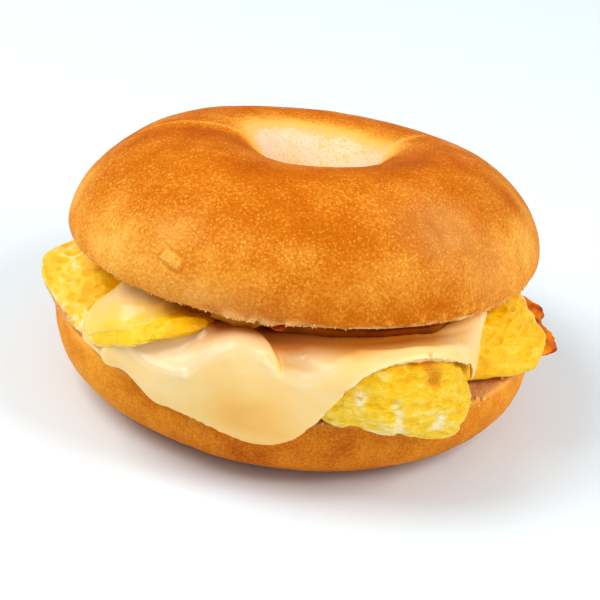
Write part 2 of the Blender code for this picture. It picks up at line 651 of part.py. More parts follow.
def strip(name, outline, lie):
    """Thin strip between two edge points at each station; lie gives its underside."""
    rows = []
    for near, far, wave in outline:
        share = np.array([0.0, 0.06, 0.3, 0.55, 0.8, 0.95, 1.0])[:, None]
        flat = near + (far - near) * share
        low = lie(flat[:, 0], flat[:, 1]) + wave
        top = low + BACON_THICK * np.array([0.45, 0.9, 1.0, 0.85, 1.0, 0.9, 0.45])
        low = low + BACON_THICK * np.array([0.3, 0.0, 0.0, 0.0, 0.0, 0.0, 0.3])
        upper = np.column_stack([flat, top])
        under = np.column_stack([flat, low])[::-1]
        rows.append(np.concatenate([upper, under]))
    build_mesh(name, rows, (0.36, 0.09, 0.03), 0.4, "flat")


def bacon_right():
    outline = []
    first, last = RIGHT_STRIP_EDGE[0][0], RIGHT_STRIP_EDGE[-1][0]
    for y, reach in RIGHT_STRIP_EDGE:
        share = (y - first) / (last - first)
        inner_y = RIGHT_STRIP_INNER_FROM + (RIGHT_STRIP_INNER_TO - RIGHT_STRIP_INNER_FROM) * share
        wave = BACON_WAVE * (1 + math.sin(y * 2 * math.pi / BACON_PITCH))
        outline.append((np.array([RIGHT_STRIP_INNER, inner_y]), np.array([reach, y]), wave))
    strip("bacon_right", outline, lambda x, y: BOTTOM_CUT_HEIGHT + GAP + 0.0 * x)


def bacon_front():
    outline = []
    for x in np.linspace(FRONT_STRIP_LEFT, FRONT_STRIP_RIGHT, 20):
        bow = FRONT_STRIP_BOW * (1 - (x / FRONT_STRIP_RIGHT) ** 2)
        middle = FRONT_STRIP_MIDDLE - bow
        ragged = 0.8 * math.sin(x * 0.9) + 0.5 * math.sin(x * 1.7 + 1.0)
        near = np.array([x, middle - FRONT_STRIP_HALF_WIDTH - ragged])
        far = np.array([x, middle + FRONT_STRIP_HALF_WIDTH + 0.7 * ragged])
        reach = np.hypot(*near)
        if reach > FRONT_STRIP_REACH:
            near = near * FRONT_STRIP_REACH / reach
        wave = FRONT_STRIP_WAVE * (math.sin(x * 2 * math.pi / BACON_PITCH) - 1)
        outline.append((near, far, wave))
    strip("bacon_front", outline, lambda x, y: top_cut(x, y) - GAP - BACON_THICK)


def main():
    for thing in list(bpy.data.objects):
        bpy.data.objects.remove(thing, do_unlink=True)
    bun_bottom()
    bun_top()
    egg_lower()
    egg_front()
    cheese_front()
    egg_upper()
    cheese_upper()
    bacon_right()
    bacon_front()


main()
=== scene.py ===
import itertools
import math

import bmesh
import bpy
import numpy as np
from mathutils import Matrix, Vector
from mathutils.bvhtree import BVHTree
from mathutils.kdtree import KDTree


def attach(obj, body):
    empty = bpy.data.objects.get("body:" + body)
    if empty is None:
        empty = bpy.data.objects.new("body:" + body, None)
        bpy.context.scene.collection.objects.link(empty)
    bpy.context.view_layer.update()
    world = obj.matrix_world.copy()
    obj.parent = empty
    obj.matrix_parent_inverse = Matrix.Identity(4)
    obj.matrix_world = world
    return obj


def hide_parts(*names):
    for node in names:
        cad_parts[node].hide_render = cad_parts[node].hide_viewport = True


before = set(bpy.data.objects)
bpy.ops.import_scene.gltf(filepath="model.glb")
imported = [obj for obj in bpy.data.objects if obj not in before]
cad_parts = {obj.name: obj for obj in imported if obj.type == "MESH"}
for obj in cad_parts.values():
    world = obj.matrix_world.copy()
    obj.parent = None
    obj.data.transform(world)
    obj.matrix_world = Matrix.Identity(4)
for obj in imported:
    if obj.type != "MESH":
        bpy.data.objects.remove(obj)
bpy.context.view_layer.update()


# Bottom ring
# The lower half of a baked bagel, cut across. Smooth tan crust outside, toasted pale crumb on
# the cut face. It stands on its flat underside and carries the whole filling.

# Sizes are in millimetres until they go into a mesh, measured from the hole's axis. Azimuths
# are degrees round the hole, seen from above: 0 is right, -90 the front and 90 the back.
MM = 0.001
AXIS = np.array([-0.15, 2.65, 0.0])
BOTTOM_CUT = 20.0
CRUST_GRID = 0.62
BROWNER_SPOT = ((-28.0, -46.0, 17.0), (9.0, 6.0, 4.0))
BOTTOM_CRUST_STOPS = ((0.0, 246, 206, 134), (0.3, 246, 182, 78), (0.55, 238, 155, 44),
                      (0.8, 208, 112, 26), (1.0, 164, 72, 12))
TOAST_STOPS = ((0.35, 226, 158, 72), (0.6, 248, 212, 146))


def smooth(low, high, value):
    """0 below low, 1 above high, with a soft change between."""
    t = np.clip((value - low) / (high - low), 0.0, 1.0)
    return t * t * (3.0 - 2.0 * t)


def settle(piece):
    """Turn what the piece's modifiers make into its plain mesh."""
    evaluated = piece.evaluated_get(bpy.context.evaluated_depsgraph_get())
    mesh = bpy.data.meshes.new_from_object(evaluated)
    piece.modifiers.clear()
    piece.data = mesh
    mesh.shade_smooth()
    return piece


def new_object(name, data):
    """New object in the scene."""
    made = bpy.data.objects.new(name, data)
    bpy.context.scene.collection.objects.link(made)
    return made


def calm(piece, rounds):
    """Modifier that evens out the piece's points a little."""
    evener = piece.modifiers.new("calm", "SMOOTH")
    evener.factor = 0.5
    evener.iterations = rounds


def finer_copy(node, name, levels, grid, rounds):
    """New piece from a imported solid: corners merged, faces rounded off and made fine and even.

    Levels is how often the faces are divided, grid the size of the new ones, and rounds how
    often the points are evened out.
    """
    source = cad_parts[node].data
    mesh = bpy.data.meshes.new(name)
    mesh.from_pydata([v.co[:] for v in source.vertices], [], [p.vertices[:] for p in source.polygons])
    bm = bmesh.new()
    bm.from_mesh(mesh)
    bmesh.ops.remove_doubles(bm, verts=bm.verts, dist=0.01 * MM)
    bmesh.ops.join_triangles(bm, faces=bm.faces, angle_face_threshold=math.pi,
                             angle_shape_threshold=math.pi)
    bm.to_mesh(mesh)
    bm.free()
    piece = new_object(name, mesh)
    rounder = piece.modifiers.new("rounder", "SUBSURF")
    rounder.levels = levels
    rounder.render_levels = levels
    even = piece.modifiers.new("even", "REMESH")
    even.mode = "VOXEL"
    even.voxel_size = grid * MM
    calm(piece, rounds)
    return settle(piece)


def read_points(piece):
    """Places of the piece's points and the way that each faces."""
    count = len(piece.data.vertices)
    place = np.empty(count * 3, np.float32)
    facing = np.empty(count * 3, np.float32)
    piece.data.vertices.foreach_get("co", place)
    piece.data.vertex_normals.foreach_get("vector", facing)
    return place.reshape(-1, 3).astype(float) / MM - AXIS, facing.reshape(-1, 3).astype(float)


def put_points(piece, place):
    """Give the piece's points their new places."""
    piece.data.vertices.foreach_set("co", ((place + AXIS) * MM).astype(np.float32).ravel())
    piece.data.update()


def push_out(piece, height):
    """Move each point outwards by its height."""
    place, facing = read_points(piece)
    put_points(piece, place + facing * height[:, None])


def store(piece, name, values):
    """Keep one number a point, for the material to read."""
    attribute = piece.data.attributes.new(name, "FLOAT", "POINT")
    attribute.data.foreach_set("value", values.astype(np.float32))


def dice(cell, seed):
    """Random number from 0 to 1 that belongs to each cell of a grid."""
    mixed = (cell @ np.array([73856093, 19349663, 83492791]) + seed * 7919) & 0xFFFFFF
    mixed = (mixed * 0x9E3779B1) >> 9
    mixed = ((mixed ^ (mixed >> 11)) & 0xFFFFFF) * 0x85EBCA6B
    return ((mixed >> 13) & 0xFFFF) / 65535.0


def cloud(place, size, seed):
    """Soft random field from -1 to 1 with lumps of about that size."""
    turned = place @ np.array([[0.36, 0.48, -0.8], [-0.8, 0.6, 0.0], [0.48, 0.64, 0.6]])
    at = turned / size + 5.37 * seed
    cell = np.floor(at).astype(np.int64)
    soft = at - cell
    soft = soft * soft * (3.0 - 2.0 * soft)
    total = np.zeros(len(place))
    for corner in itertools.product((0, 1), repeat=3):
        share = np.prod(np.where(corner, soft, 1.0 - soft), axis=1)
        total += share * dice(cell + np.array(corner), seed)
    return 2.0 * total - 1.0


def pebbles(place, size, seed):
    """Distance to the nearest of many scattered points, in sizes."""
    at = place / size
    cell = np.floor(at).astype(np.int64)
    nearest = np.full(len(place), 9.0)
    for step in itertools.product((-1, 0, 1), repeat=3):
        there = cell + np.array(step)
        point = there + np.stack([dice(there, seed + k) for k in range(3)], axis=1)
        nearest = np.minimum(nearest, np.linalg.norm(at - point, axis=1))
    return nearest


def spot(place, centre, size):
    """1 at a centre, falling softly to 0 at about one and a half sizes from it."""
    return np.exp(-np.sum(((place - np.array(centre)) / np.array(size)) ** 2, axis=1))


def radius_of(place):
    """Distance of points from the hole's axis."""
    return np.hypot(place[:, 0], place[:, 1])


def paint(red, green, blue):
    """Colour for a shader from screen values of 0 to 255."""
    return (*[((c / 255 + 0.055) / 1.055) ** 2.4 if c > 10 else c / 3294.6
              for c in (red, green, blue)], 1.0)


def add(tree, kind, inputs, **settings):
    """New shader node; each input is a value or a socket to join to."""
    made = tree.nodes.new("ShaderNode" + kind)
    for key, value in settings.items():
        setattr(made, key, value)
    for socket, value in inputs.items():
        if isinstance(value, bpy.types.NodeSocket):
            tree.links.new(value, made.inputs[socket])
        else:
            made.inputs[socket].default_value = value
    return made


def stored(tree, name):
    """Socket with a number kept by store."""
    return add(tree, "Attribute", {}, attribute_name=name).outputs["Fac"]


def sum_of(tree, first, *terms):
    """Socket with first plus each (socket, times) of terms."""
    total = first
    for value, times in terms:
        made = add(tree, "Math", {0: value, 1: times, 2: total}, operation="MULTIPLY_ADD")
        total = made.outputs[0]
    return total


def product_of(tree, first, second):
    """Socket with the product of two numbers."""
    return add(tree, "Math", {0: first, 1: second}, operation="MULTIPLY").outputs[0]


def rescale(tree, value, low, high, to_low=0.0, to_high=1.0):
    """Socket with a number brought softly from one range to another."""
    inputs = {"Value": value, "From Min": low, "From Max": high, "To Min": to_low, "To Max": to_high}
    return add(tree, "MapRange", inputs, interpolation_type="SMOOTHSTEP").outputs["Result"]


def blend(tree, share, first, second):
    """Socket with a mix of two colours."""
    return add(tree, "Mix", {0: share, 6: first, 7: second}, data_type="RGBA").outputs[2]


def ramp(tree, share, stops):
    """Socket with the colour at share along stops, each a place and three screen values."""
    made = add(tree, "ValToRGB", {"Fac": share})
    band = made.color_ramp
    while len(band.elements) < len(stops):
        band.elements.new(0.5)
    for element, (place, *colour) in zip(band.elements, stops):
        element.position = place
        element.color = paint(*colour)
    return made.outputs["Color"]


def less(tree, value, amount):
    """Socket with a number less an amount."""
    return add(tree, "Math", {0: value, 1: amount}, operation="SUBTRACT").outputs[0]


def noise(tree, where, scale, detail, **more):
    """Socket with a soft random field."""
    inputs = {"Vector": where, "Scale": scale, "Detail": detail, **more}
    return add(tree, "TexNoise", inputs).outputs["Fac"]


def new_material(name):
    """New material, its node tree, its shader, and the socket with the place on the object."""
    material = bpy.data.materials.new(name)
    material.use_nodes = True
    tree = material.node_tree
    where = add(tree, "TexCoord", {}).outputs["Object"]
    return material, tree, tree.nodes["Principled BSDF"], where


def add_bump(tree, shader, height, strength, depth):
    """Relief too fine for the mesh."""
    bump = add(tree, "Bump", {"Height": height, "Strength": strength, "Distance": depth})
    tree.links.new(bump.outputs["Normal"], shader.inputs["Normal"])


def set_finish(shader, values):
    """Values that are the same all over the surface."""
    for socket, value in values.items():
        shader.inputs[socket].default_value = value


def crust_material(name, stops, speck, fleck):
    """Baked crust: the bake mask runs from pale to brown, partly the real bake and partly painted
    light and shade, with fine pale blisters; crumb is the cut face.

    Where the highlight mask is high the crust is painted paler and pinker: a painted highlight.
    Speck is the size of the blisters, and fleck how much paler they are.
    """
    material, tree, shader, where = new_material(name)
    fine = noise(tree, where, 1500.0, 2.0)
    patchy = noise(tree, where, 170.0, 5.0, Roughness=0.62)
    cells = add(tree, "TexVoronoi", {"Vector": where, "Scale": 1.0 / (speck * MM)})
    dome = rescale(tree, cells.outputs["Distance"], 0.56, 0.12)
    own = add(tree, "SeparateColor", {"Color": cells.outputs["Color"]}).outputs[0]
    dome = product_of(tree, dome, rescale(tree, own, 0.0, 1.0, 0.3, 1.0))
    blister = product_of(tree, dome, stored(tree, "blister"))
    bake_and_shading = sum_of(tree, stored(tree, "bake_and_shading"), (patchy, 0.36), (fine, 0.46), (blister, -fleck))
    crust = ramp(tree, less(tree, bake_and_shading, 0.41 - 0.25 * fleck), stops)
    # Painted highlight: the crust is mixed towards a pale pink tan where the highlight mask is high.
    crust = blend(tree, stored(tree, "painted_highlight"), crust, paint(242, 182, 104))
    crumb = stored(tree, "crumb")
    colour = blend(tree, crumb, crust, ramp(tree, patchy, TOAST_STOPS))
    tree.links.new(colour, shader.inputs["Base Color"])
    tree.links.new(rescale(tree, crumb, 0.0, 1.0, 0.5, 0.85), shader.inputs["Roughness"])
    add_bump(tree, shader, sum_of(tree, blister, (fine, 0.6), (patchy, 0.7)), 0.7, 0.2 * MM)
    set_finish(shader, {"Specular IOR Level": 0.01})
    return material


bottom_ring = finer_copy("bun_bottom", "bottom_ring", 2, CRUST_GRID, 3)
place, facing = read_points(bottom_ring)
radius = radius_of(place)
above_cut = place[:, 2] - BOTTOM_CUT
cut_face = smooth(-0.3, 0.3, above_cut) * smooth(0.5, 0.85, facing[:, 2])
hole_wall = smooth(20.0, 16.0, radius) * (1.0 - cut_face)
lumps = 0.35 * cloud(place, 21.0, 1) + 0.14 * cloud(place, 7.0, 2) + 0.06 * cloud(place, 2.6, 3)
edge = smooth(1.4, 0.2, np.abs(above_cut + 0.1)) * smooth(46.0, 50.0, radius)
lumps += edge * (0.22 * cloud(place, 1.6, 8) + 0.12 * cloud(place, 0.9, 9))
pores = smooth(0.5, 0.1, pebbles(place, 2.4, 4))
lumps = lumps * (1.0 - cut_face) - cut_face * (0.35 * pores + 0.1)
push_out(bottom_ring, lumps * smooth(0.0, 1.5, place[:, 2]))
bake_and_shading = 0.66 + 0.08 * cloud(place, 17.0, 5) + 0.05 * cloud(place, 5.0, 6) - 0.45 * hole_wall
bake_and_shading += 0.12 * smooth(1.8, 0.2, place[:, 2]) - 0.08 * smooth(-2.5, 0.2, above_cut)
# Painted shade and light: darker across the middle and paler at the left and right ends, where the
# side lamps light the crust most.
bake_and_shading += 0.12 * spot(place, *BROWNER_SPOT) + 0.1 * smooth(32.0, 12.0, np.abs(place[:, 0] - 6.0))
bake_and_shading -= 0.12 * smooth(-30.0, -48.0, place[:, 0]) + 0.1 * smooth(34.0, 48.0, place[:, 0])
bake_and_shading += 0.26 * cut_face
store(bottom_ring, "bake_and_shading", bake_and_shading)
store(bottom_ring, "painted_highlight", np.zeros(len(place)))
store(bottom_ring, "crumb", np.maximum(0.5 * cut_face * smooth(56.5, 49.0, radius), 0.3 * edge))
store(bottom_ring, "blister", 0.6 + 0.3 * cloud(place, 6.0, 7))
bottom_ring.data.materials.append(crust_material("bottom_crust", BOTTOM_CRUST_STOPS, 0.6, 0.14))
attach(bottom_ring, "root")
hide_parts("bun_bottom")


# Folded egg
# A sheet of cooked egg folded into a square and laid right through the sandwich. Two of its
# corners stick out, at the left and at the right, soft and lumpy with a moist wrinkled skin.

EGG_GRID = 0.66
LEFT_TIP = ((-57.0, -11.5, 28.5), (5.5, 7.0, 5.0))
LEFT_TIP_DRAWN_OUT = (-1.3, 0.3, 0.9)
NOTCH = ((51.5, -28.5, 26.8), (1.8, 1.8, 1.2))
BELOW_NOTCH = ((52.8, -28.8, 23.9), (1.8, 1.8, 1.2))
BROWN_PLACES = (((-45.0, -19.8, 32.4), (3.4, 1.0, 0.9), 0.55),
                ((-46.5, -24.0, 29.5), (1.6, 2.6, 1.0), 0.16),
                ((-50.5, -20.0, 29.0), (2.2, 1.6, 0.8), 0.16),
                ((46.0, -19.0, 32.0), (2.5, 2.5, 1.5), 0.25))
EGG_STOPS = ((0.0, 254, 182, 0), (0.33, 255, 194, 0), (0.6, 255, 206, 32), (0.82, 255, 216, 98),
             (1.0, 255, 230, 170))


def egg_material(name, wrinkle):
    """Moist cooked egg: pale whitish and deep yellow patches, browner patches of skin and fine
    wrinkles.
    """
    material, tree, shader, where = new_material(name)
    drawn = add(tree, "Mapping", {"Vector": where, "Scale": (0.6, 1.0, 1.3)}).outputs["Vector"]
    curd = noise(tree, drawn, 360.0, 4.0, Distortion=1.2)
    grain = noise(tree, drawn, 1000.0, 2.0, Distortion=2.2)
    tone = less(tree, sum_of(tree, stored(tree, "tone"), (curd, 0.8), (grain, 0.36)), 0.58)
    colour = ramp(tree, tone, EGG_STOPS)
    colour = blend(tree, stored(tree, "browning_and_shade"), colour, paint(206, 92, 0))
    tree.links.new(colour, shader.inputs["Base Color"])
    add_bump(tree, shader, sum_of(tree, grain, (curd, 1.0)), wrinkle, 0.5 * MM)
    set_finish(shader, {"Roughness": 0.24, "Specular IOR Level": 0.25, "Subsurface Weight": 0.2,
                        "Subsurface Scale": 0.8 * MM, "Subsurface Radius": (1.0, 0.8, 0.3)})
    return material


def cut_finer(piece, picked):
    """Cut the faces whose points are all picked into four."""
    bm = bmesh.new()
    bm.from_mesh(piece.data)
    bm.verts.ensure_lookup_table()
    edges = {edge for face in bm.faces if all(picked[v.index] for v in face.verts)
             for edge in face.edges}
    ordered = sorted(edges, key=lambda edge: edge.index)
    bmesh.ops.subdivide_edges(bm, edges=ordered, cuts=1, use_grid_fill=True)
    bm.to_mesh(piece.data)
    bm.free()
    piece.data.shade_smooth()


def azimuth_of(place):
    """Azimuth of points."""
    return np.degrees(np.arctan2(place[:, 1], place[:, 0]))


def shift(place, share, way):
    """Points moved by their share of a way."""
    return place + share[:, None] * np.array(way)


def worms(place, size, seed):
    """Fine winding ridges, as on the skin of cooked egg."""
    field = cloud(place, size, seed) + 0.5 * cloud(place, 0.5 * size, seed + 1)
    return 1.0 - 2.0 * np.abs(field)


def strongest(place, spots):
    """The strongest of some soft spots at each point."""
    return np.max([share * spot(place, centre, size) for centre, size, share in spots], axis=0)


folded_egg = finer_copy("egg_lower", "folded_egg", 2, EGG_GRID, 3)
place, _ = read_points(folded_egg)
cut_finer(folded_egg, radius_of(place) > 46.5)
place, _ = read_points(folded_egg)
put_points(folded_egg, shift(place, spot(place, *LEFT_TIP), LEFT_TIP_DRAWN_OUT))
place, _ = read_points(folded_egg)
radius = radius_of(place)
shows = smooth(46.0, 49.5, radius)
left = (np.abs(azimuth_of(place)) > 130.0) * 1.0
right = 1.0 - left
drawn = place * np.array([0.45, 0.8, 1.2])
folds = left * worms(drawn, 1.7, 13) + right * worms(place * np.array([0.7, 0.5, 1.2]), 1.8, 13)
side_face = smooth(27.5, 25.5, place[:, 2]) * right
height = 0.35 * cloud(place, 5.5, 11) + 0.22 * cloud(place, 2.4, 12) + 0.3 * folds * (1.0 - side_face)
height += 0.9 * spot(place, *BELOW_NOTCH) - 1.3 * spot(place, *NOTCH)
push_out(folded_egg, height * shows)
# Painted glints: the ridges of the wrinkles are painted paler.
tone = 0.3 + 0.16 * cloud(place, 7.0, 15) + 0.1 * cloud(place, 2.6, 16) + 0.26 * folds
pale_top = smooth(29.4, 30.8, place[:, 2]) * smooth(-19.0, -14.0, place[:, 1])
pale_side = smooth(28.0, 24.0, place[:, 2])
tone += left * (0.12 * folds + 0.3 * pale_top + 0.36 * pale_side - 0.04) - 0.04 * side_face
store(folded_egg, "tone", tone)
low_edge = smooth(25.0, 23.0, place[:, 2]) * smooth(56.0, 57.5, radius) * left
browning_and_shade = 0.05 * smooth(0.35, 0.8, cloud(drawn, 3.4, 17)) * shows * (1.0 - side_face)
browning_and_shade = np.maximum(0.7 * low_edge + browning_and_shade, strongest(place, BROWN_PLACES))
store(folded_egg, "browning_and_shade", browning_and_shade)
folded_egg.data.materials.append(egg_material("folded_egg_skin", 0.6))
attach(folded_egg, "root")
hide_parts("egg_lower")


# Right bacon strip
# A crisp fried rasher laid on the bottom ring at the right. Its ragged red-brown end looks out
# behind the corner of the egg.

BACON_GRID = 0.35
MOIST_PLACE = ((53.0, -24.0, 28.0), (5.0, 5.0, 5.0))
BACON_STOPS = ((0.0, 250, 160, 14), (0.3, 232, 120, 2), (0.6, 180, 70, 0), (1.0, 92, 30, 0))


def bacon_material(name, stops):
    """Fried bacon: orange-brown where it is moist, dark where it is crisp, with a greasy gloss.

    On the front strip the char mask and the stops also carry painted shade.
    """
    material, tree, shader, where = new_material(name)
    streak = add(tree, "Mapping", {"Vector": where, "Scale": (1.0, 0.45, 1.0)}).outputs["Vector"]
    patchy = noise(tree, streak, 330.0, 4.0)
    tone = less(tree, sum_of(tree, stored(tree, "char_and_shade"), (patchy, 0.8)), 0.4)
    tree.links.new(ramp(tree, tone, stops), shader.inputs["Base Color"])
    add_bump(tree, shader, patchy, 0.7, 0.4 * MM)
    set_finish(shader, {"Roughness": 0.42, "Specular IOR Level": 0.06, "Subsurface Weight": 0.15,
                        "Subsurface Scale": 1.5 * MM, "Subsurface Radius": (1.0, 0.35, 0.1)})
    return material


bacon_finish = bacon_material("fried_bacon", BACON_STOPS)
bacon_right = finer_copy("bacon_right", "bacon_strip_right", 3, BACON_GRID, 1)
place, facing = read_points(bacon_right)
push_out(bacon_right, 0.3 * cloud(place, 2.6, 21) + 0.3 * cloud(place, 1.1, 22))
rim = smooth(0.8, 0.4, np.abs(facing[:, 2]))
char_and_shade = 0.26 + 0.4 * rim + 0.35 * cloud(place, 2.4, 23) + 0.25 * smooth(59.4, 60.8, radius_of(place))
char_and_shade += 0.2 * smooth(-20.0, -12.0, place[:, 1]) - 0.22 * spot(place, *MOIST_PLACE)
store(bacon_right, "char_and_shade", char_and_shade)
bacon_right.data.materials.append(bacon_finish)
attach(bacon_right, "root")
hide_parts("bacon_right")


# Front egg flap
# The free end of the egg sheet, folded over at the front right. It bulges out over the edge of
# the bottom ring and shows its curds, a pale crack and a browned dimple.

FLAP_GRID = 0.36
CRACK = ((22.0, -58.6, 28.5), (23.0, -58.4, 26.0), (23.7, -57.1, 20.1), (24.2, -55.5, 17.0))
CRACK_FOOT = ((24.0, -56.5, 17.8), (0.9, 2.0, 1.4))
LEFT_END = ((9.5, -56.0, 23.5), (5.0, 4.0, 4.0))
LEFT_END_DRAWN_OUT = (-1.2, -1.0, -1.4)
RIGHT_BULGE = ((33.0, -46.0, 32.0), (4.0, 4.0, 2.5))
DIMPLE = ((28.0, -50.5, 35.2), (29.0, -51.5, 33.6), (29.8, -52.5, 31.8))
PALE_PATCHES = (((32.5, -54.5, 22.5), (4.5, 3.0, 2.6), 0.32),
                ((14.8, -58.2, 28.6), (1.6, 2.0, 2.2), 0.32),
                ((20.0, -58.5, 21.5), (4.0, 2.5, 2.2), 0.32))


def far_from(place, path):
    """Distance of points from a line through the path's places."""
    nearest = np.full(len(place), 999.0)
    for first, last in zip(path[:-1], path[1:]):
        first = np.array(first)
        step = np.array(last) - first
        share = np.clip((place - first) @ step / (step @ step), 0.0, 1.0)
        gap = np.linalg.norm(place - first - share[:, None] * step, axis=1)
        nearest = np.minimum(nearest, gap)
    return nearest


def bead(place, path, width):
    """1 on a line through the path's places, falling softly to 0 beside it."""
    return np.exp(-(far_from(place, path) / width) ** 2)


def all_of(place, spots):
    """The sum of some soft spots at each point."""
    return np.sum([share * spot(place, centre, size) for centre, size, share in spots], axis=0)


egg_flap = finer_copy("egg_front", "egg_flap", 3, FLAP_GRID, 2)
place, _ = read_points(egg_flap)
put_points(egg_flap, shift(place, spot(place, *LEFT_END), LEFT_END_DRAWN_OUT))
place, _ = read_points(egg_flap)
curds = smooth(0.7, 0.1, pebbles(place, 2.4, 31))
folds = worms(place * np.array([0.6, 0.8, 1.3]), 1.8, 33)
split = bead(place, CRACK, 1.1)
height = 0.35 * cloud(place, 5.0, 32) + 0.2 * curds + 0.26 * folds - 0.15
height += 0.7 * smooth(31.5, 34.5, place[:, 2]) + 1.3 * spot(place, *RIGHT_BULGE)
height -= 0.45 * split + 0.9 * spot(place, *CRACK_FOOT) + 1.0 * bead(place, DIMPLE, 1.4)
push_out(egg_flap, height)
# Painted glints: the wrinkle ridges are painted paler. Painted light: paler towards the bottom, where
# light from the front falls on the flap.
tone = 0.4 + 0.14 * cloud(place, 6.0, 35) + 0.08 * cloud(place, 2.2, 36) + 0.24 * folds
tone += 0.12 * smooth(27.0, 21.0, place[:, 2]) + 0.45 * split + all_of(place, PALE_PATCHES)
store(egg_flap, "tone", tone)
store(egg_flap, "browning_and_shade", 0.5 * np.minimum(1.0, 1.6 * bead(place, DIMPLE, 1.6)))
egg_flap.data.materials.append(egg_material("egg_flap_skin", 1.0))
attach(egg_flap, "root")
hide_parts("egg_front")


# Front cheese
# A slice of mild cheese that has melted over the egg. It runs through the sandwich, sags over
# the front edge in one thick fold and sticks to the egg flap at the right.

CHEESE_GRID = 0.6
FOLD_LEFT = ((-36.5, -43.0, 28.0), (-34.1, -46.7, 28.5), (-29.8, -52.5, 28.7), (-24.9, -55.3, 28.9),
             (-22.2, -56.3, 29.6))
FOLD_MIDDLE = ((-22.2, -56.3, 29.6), (-19.2, -56.8, 32.4), (-12.3, -56.6, 37.1), (-8.1, -57.1, 37.0))
FOLD_DOWN = ((-8.1, -57.1, 37.0), (-3.6, -57.5, 32.9), (1.8, -58.1, 30.7), (7.7, -58.0, 34.0),
             (10.9, -54.8, 36.2))
FOLD_RIGHT = ((13.5, -52.7, 36.8), (16.7, -52.6, 37.1), (21.8, -52.2, 37.5), (30.3, -48.9, 37.0),
              (37.3, -40.0, 34.0))
LIP_RIGHT = ((11.5, -59.2, 30.5), (14.2, -58.7, 33.4), (16.9, -57.5, 35.0), (20.1, -56.0, 35.8),
             (23.6, -54.4, 36.2), (27.4, -52.5, 36.0), (31.5, -50.2, 35.0), (34.6, -48.2, 33.6),
             (36.4, -46.2, 32.0))
WRINKLES = (((2.4, -54.5, 36.4), (2.2, -56.4, 35.8), (1.6, -57.4, 34.8)),
            ((0.6, -55.6, 36.2), (1.2, -57.2, 35.0)), ((-6.0, -57.4, 34.8), (-3.8, -57.8, 33.6)),
            ((-4.6, -56.6, 36.0), (-2.4, -57.4, 34.4)))
UNDER_TONGUE = ((-38.5, -42.5, 25.5), (-37.1, -43.5, 26.5), (-30.5, -46.8, 30.1), (-24.2, -47.9, 32.7),
                (-19.1, -47.5, 34.7))
HUMP = ((-13.5, -51.5, 38.5), (6.5, 6.0, 4.5))
HUMP_SIDE = ((-27.0, -50.5, 32.0), (-15.0, -53.5, 36.0))
VALLEY_START = (-8.6, -49.0)
VALLEY_SLANT = 0.72
BELLY = ((-7.6, -58.0, 23.5), (9.0, 6.0, 5.0))
LIP_RAISED = (0.0, 0.0, 1.3)
UNDER_EGG = (-41.5, -23.5, 32.5)
UNDER_EGG_TUCKED_IN = (4.0, 0.5, -1.2)
THIN_LEFT_END = ((-39.5, -43.0, 26.5), (2.6, 2.6, 1.6))
BACON_SPECK = ((28.2, -51.6, 36.9), (0.4, 0.6, 0.5))
CHEESE_STOPS = ((0.0, 234, 170, 66), (0.3, 248, 198, 108), (0.6, 253, 213, 140), (1.0, 255, 230, 182))


def cheese_material(name):
    """Melted cheese: pale yellow, deeper where it is thin, with a soft gloss. Faces turned to the lamp
    at the left are painted a duller cream as painted light, and shade is painted browner.
    """
    material, tree, shader, where = new_material(name)
    streak = add(tree, "Mapping", {"Vector": where, "Scale": (0.5, 1.0, 1.6)}).outputs["Vector"]
    tone = sum_of(tree, stored(tree, "tone"), (noise(tree, streak, 90.0, 3.0), 0.4))
    colour = ramp(tree, less(tree, tone, 0.2), CHEESE_STOPS)
    colour = blend(tree, stored(tree, "lit_cream"), colour, paint(226, 200, 154))
    colour = blend(tree, stored(tree, "over_egg"), colour, paint(253, 204, 46))
    colour = blend(tree, stored(tree, "browning_and_shade"), colour, paint(200, 108, 0))
    tree.links.new(colour, shader.inputs["Base Color"])
    add_bump(tree, shader, noise(tree, where, 420.0, 2.0), 0.12, 0.3 * MM)
    set_finish(shader, {"Roughness": 0.26, "Specular IOR Level": 0.38, "Subsurface Weight": 0.4,
                        "Subsurface Scale": 1.2 * MM, "Subsurface Radius": (1.0, 0.85, 0.5)})
    return material


def soften(piece, rounds):
    """Even out the piece's points a little."""
    calm(piece, rounds)
    settle(piece)


def nearest_on(piece, support, reach):
    """For each point: the nearest place on another piece, the way that faces, and the gap."""
    verts = [v.co[:] for v in support.data.vertices]
    tree = BVHTree.FromPolygons(verts, [p.vertices[:] for p in support.data.polygons])
    place, _ = read_points(piece)
    found = [tree.find_nearest(here, reach * MM) for here in ((place + AXIS) * MM).tolist()]
    none = (0.0, 0.0, 0.0)
    there = np.array([f[0][:] if f[0] else none for f in found]) / MM - AXIS
    out = np.array([f[1][:] if f[0] else none for f in found])
    gap = np.array([f[3] / MM if f[0] else 99.0 for f in found])
    return there, out, gap


def lean_on(piece, support, reach, sink=0.05):
    """Let a soft piece settle until it touches its support, wherever the gap is narrow."""
    place, facing = read_points(piece)
    there, out, gap = nearest_on(piece, support, reach)
    towards = (there - place) / np.maximum(gap, 0.001)[:, None]
    outside = np.sum(towards * out, axis=1) < 0.0
    face_on = smooth(0.1, 0.6, np.sum(towards * facing, axis=1))
    share = outside * face_on * smooth(reach, 0.5 * reach, gap)
    put_points(piece, place + towards * ((gap + sink) * share)[:, None])


def lit_cream_of(facing):
    """1 where the cheese turns up and to the left, towards the lamp at the left, falling softly to 0.

    There the cheese is painted a duller cream: painted light.
    """
    return smooth(0.35, 0.9, facing @ np.array([-0.5, -0.2, 0.84]))


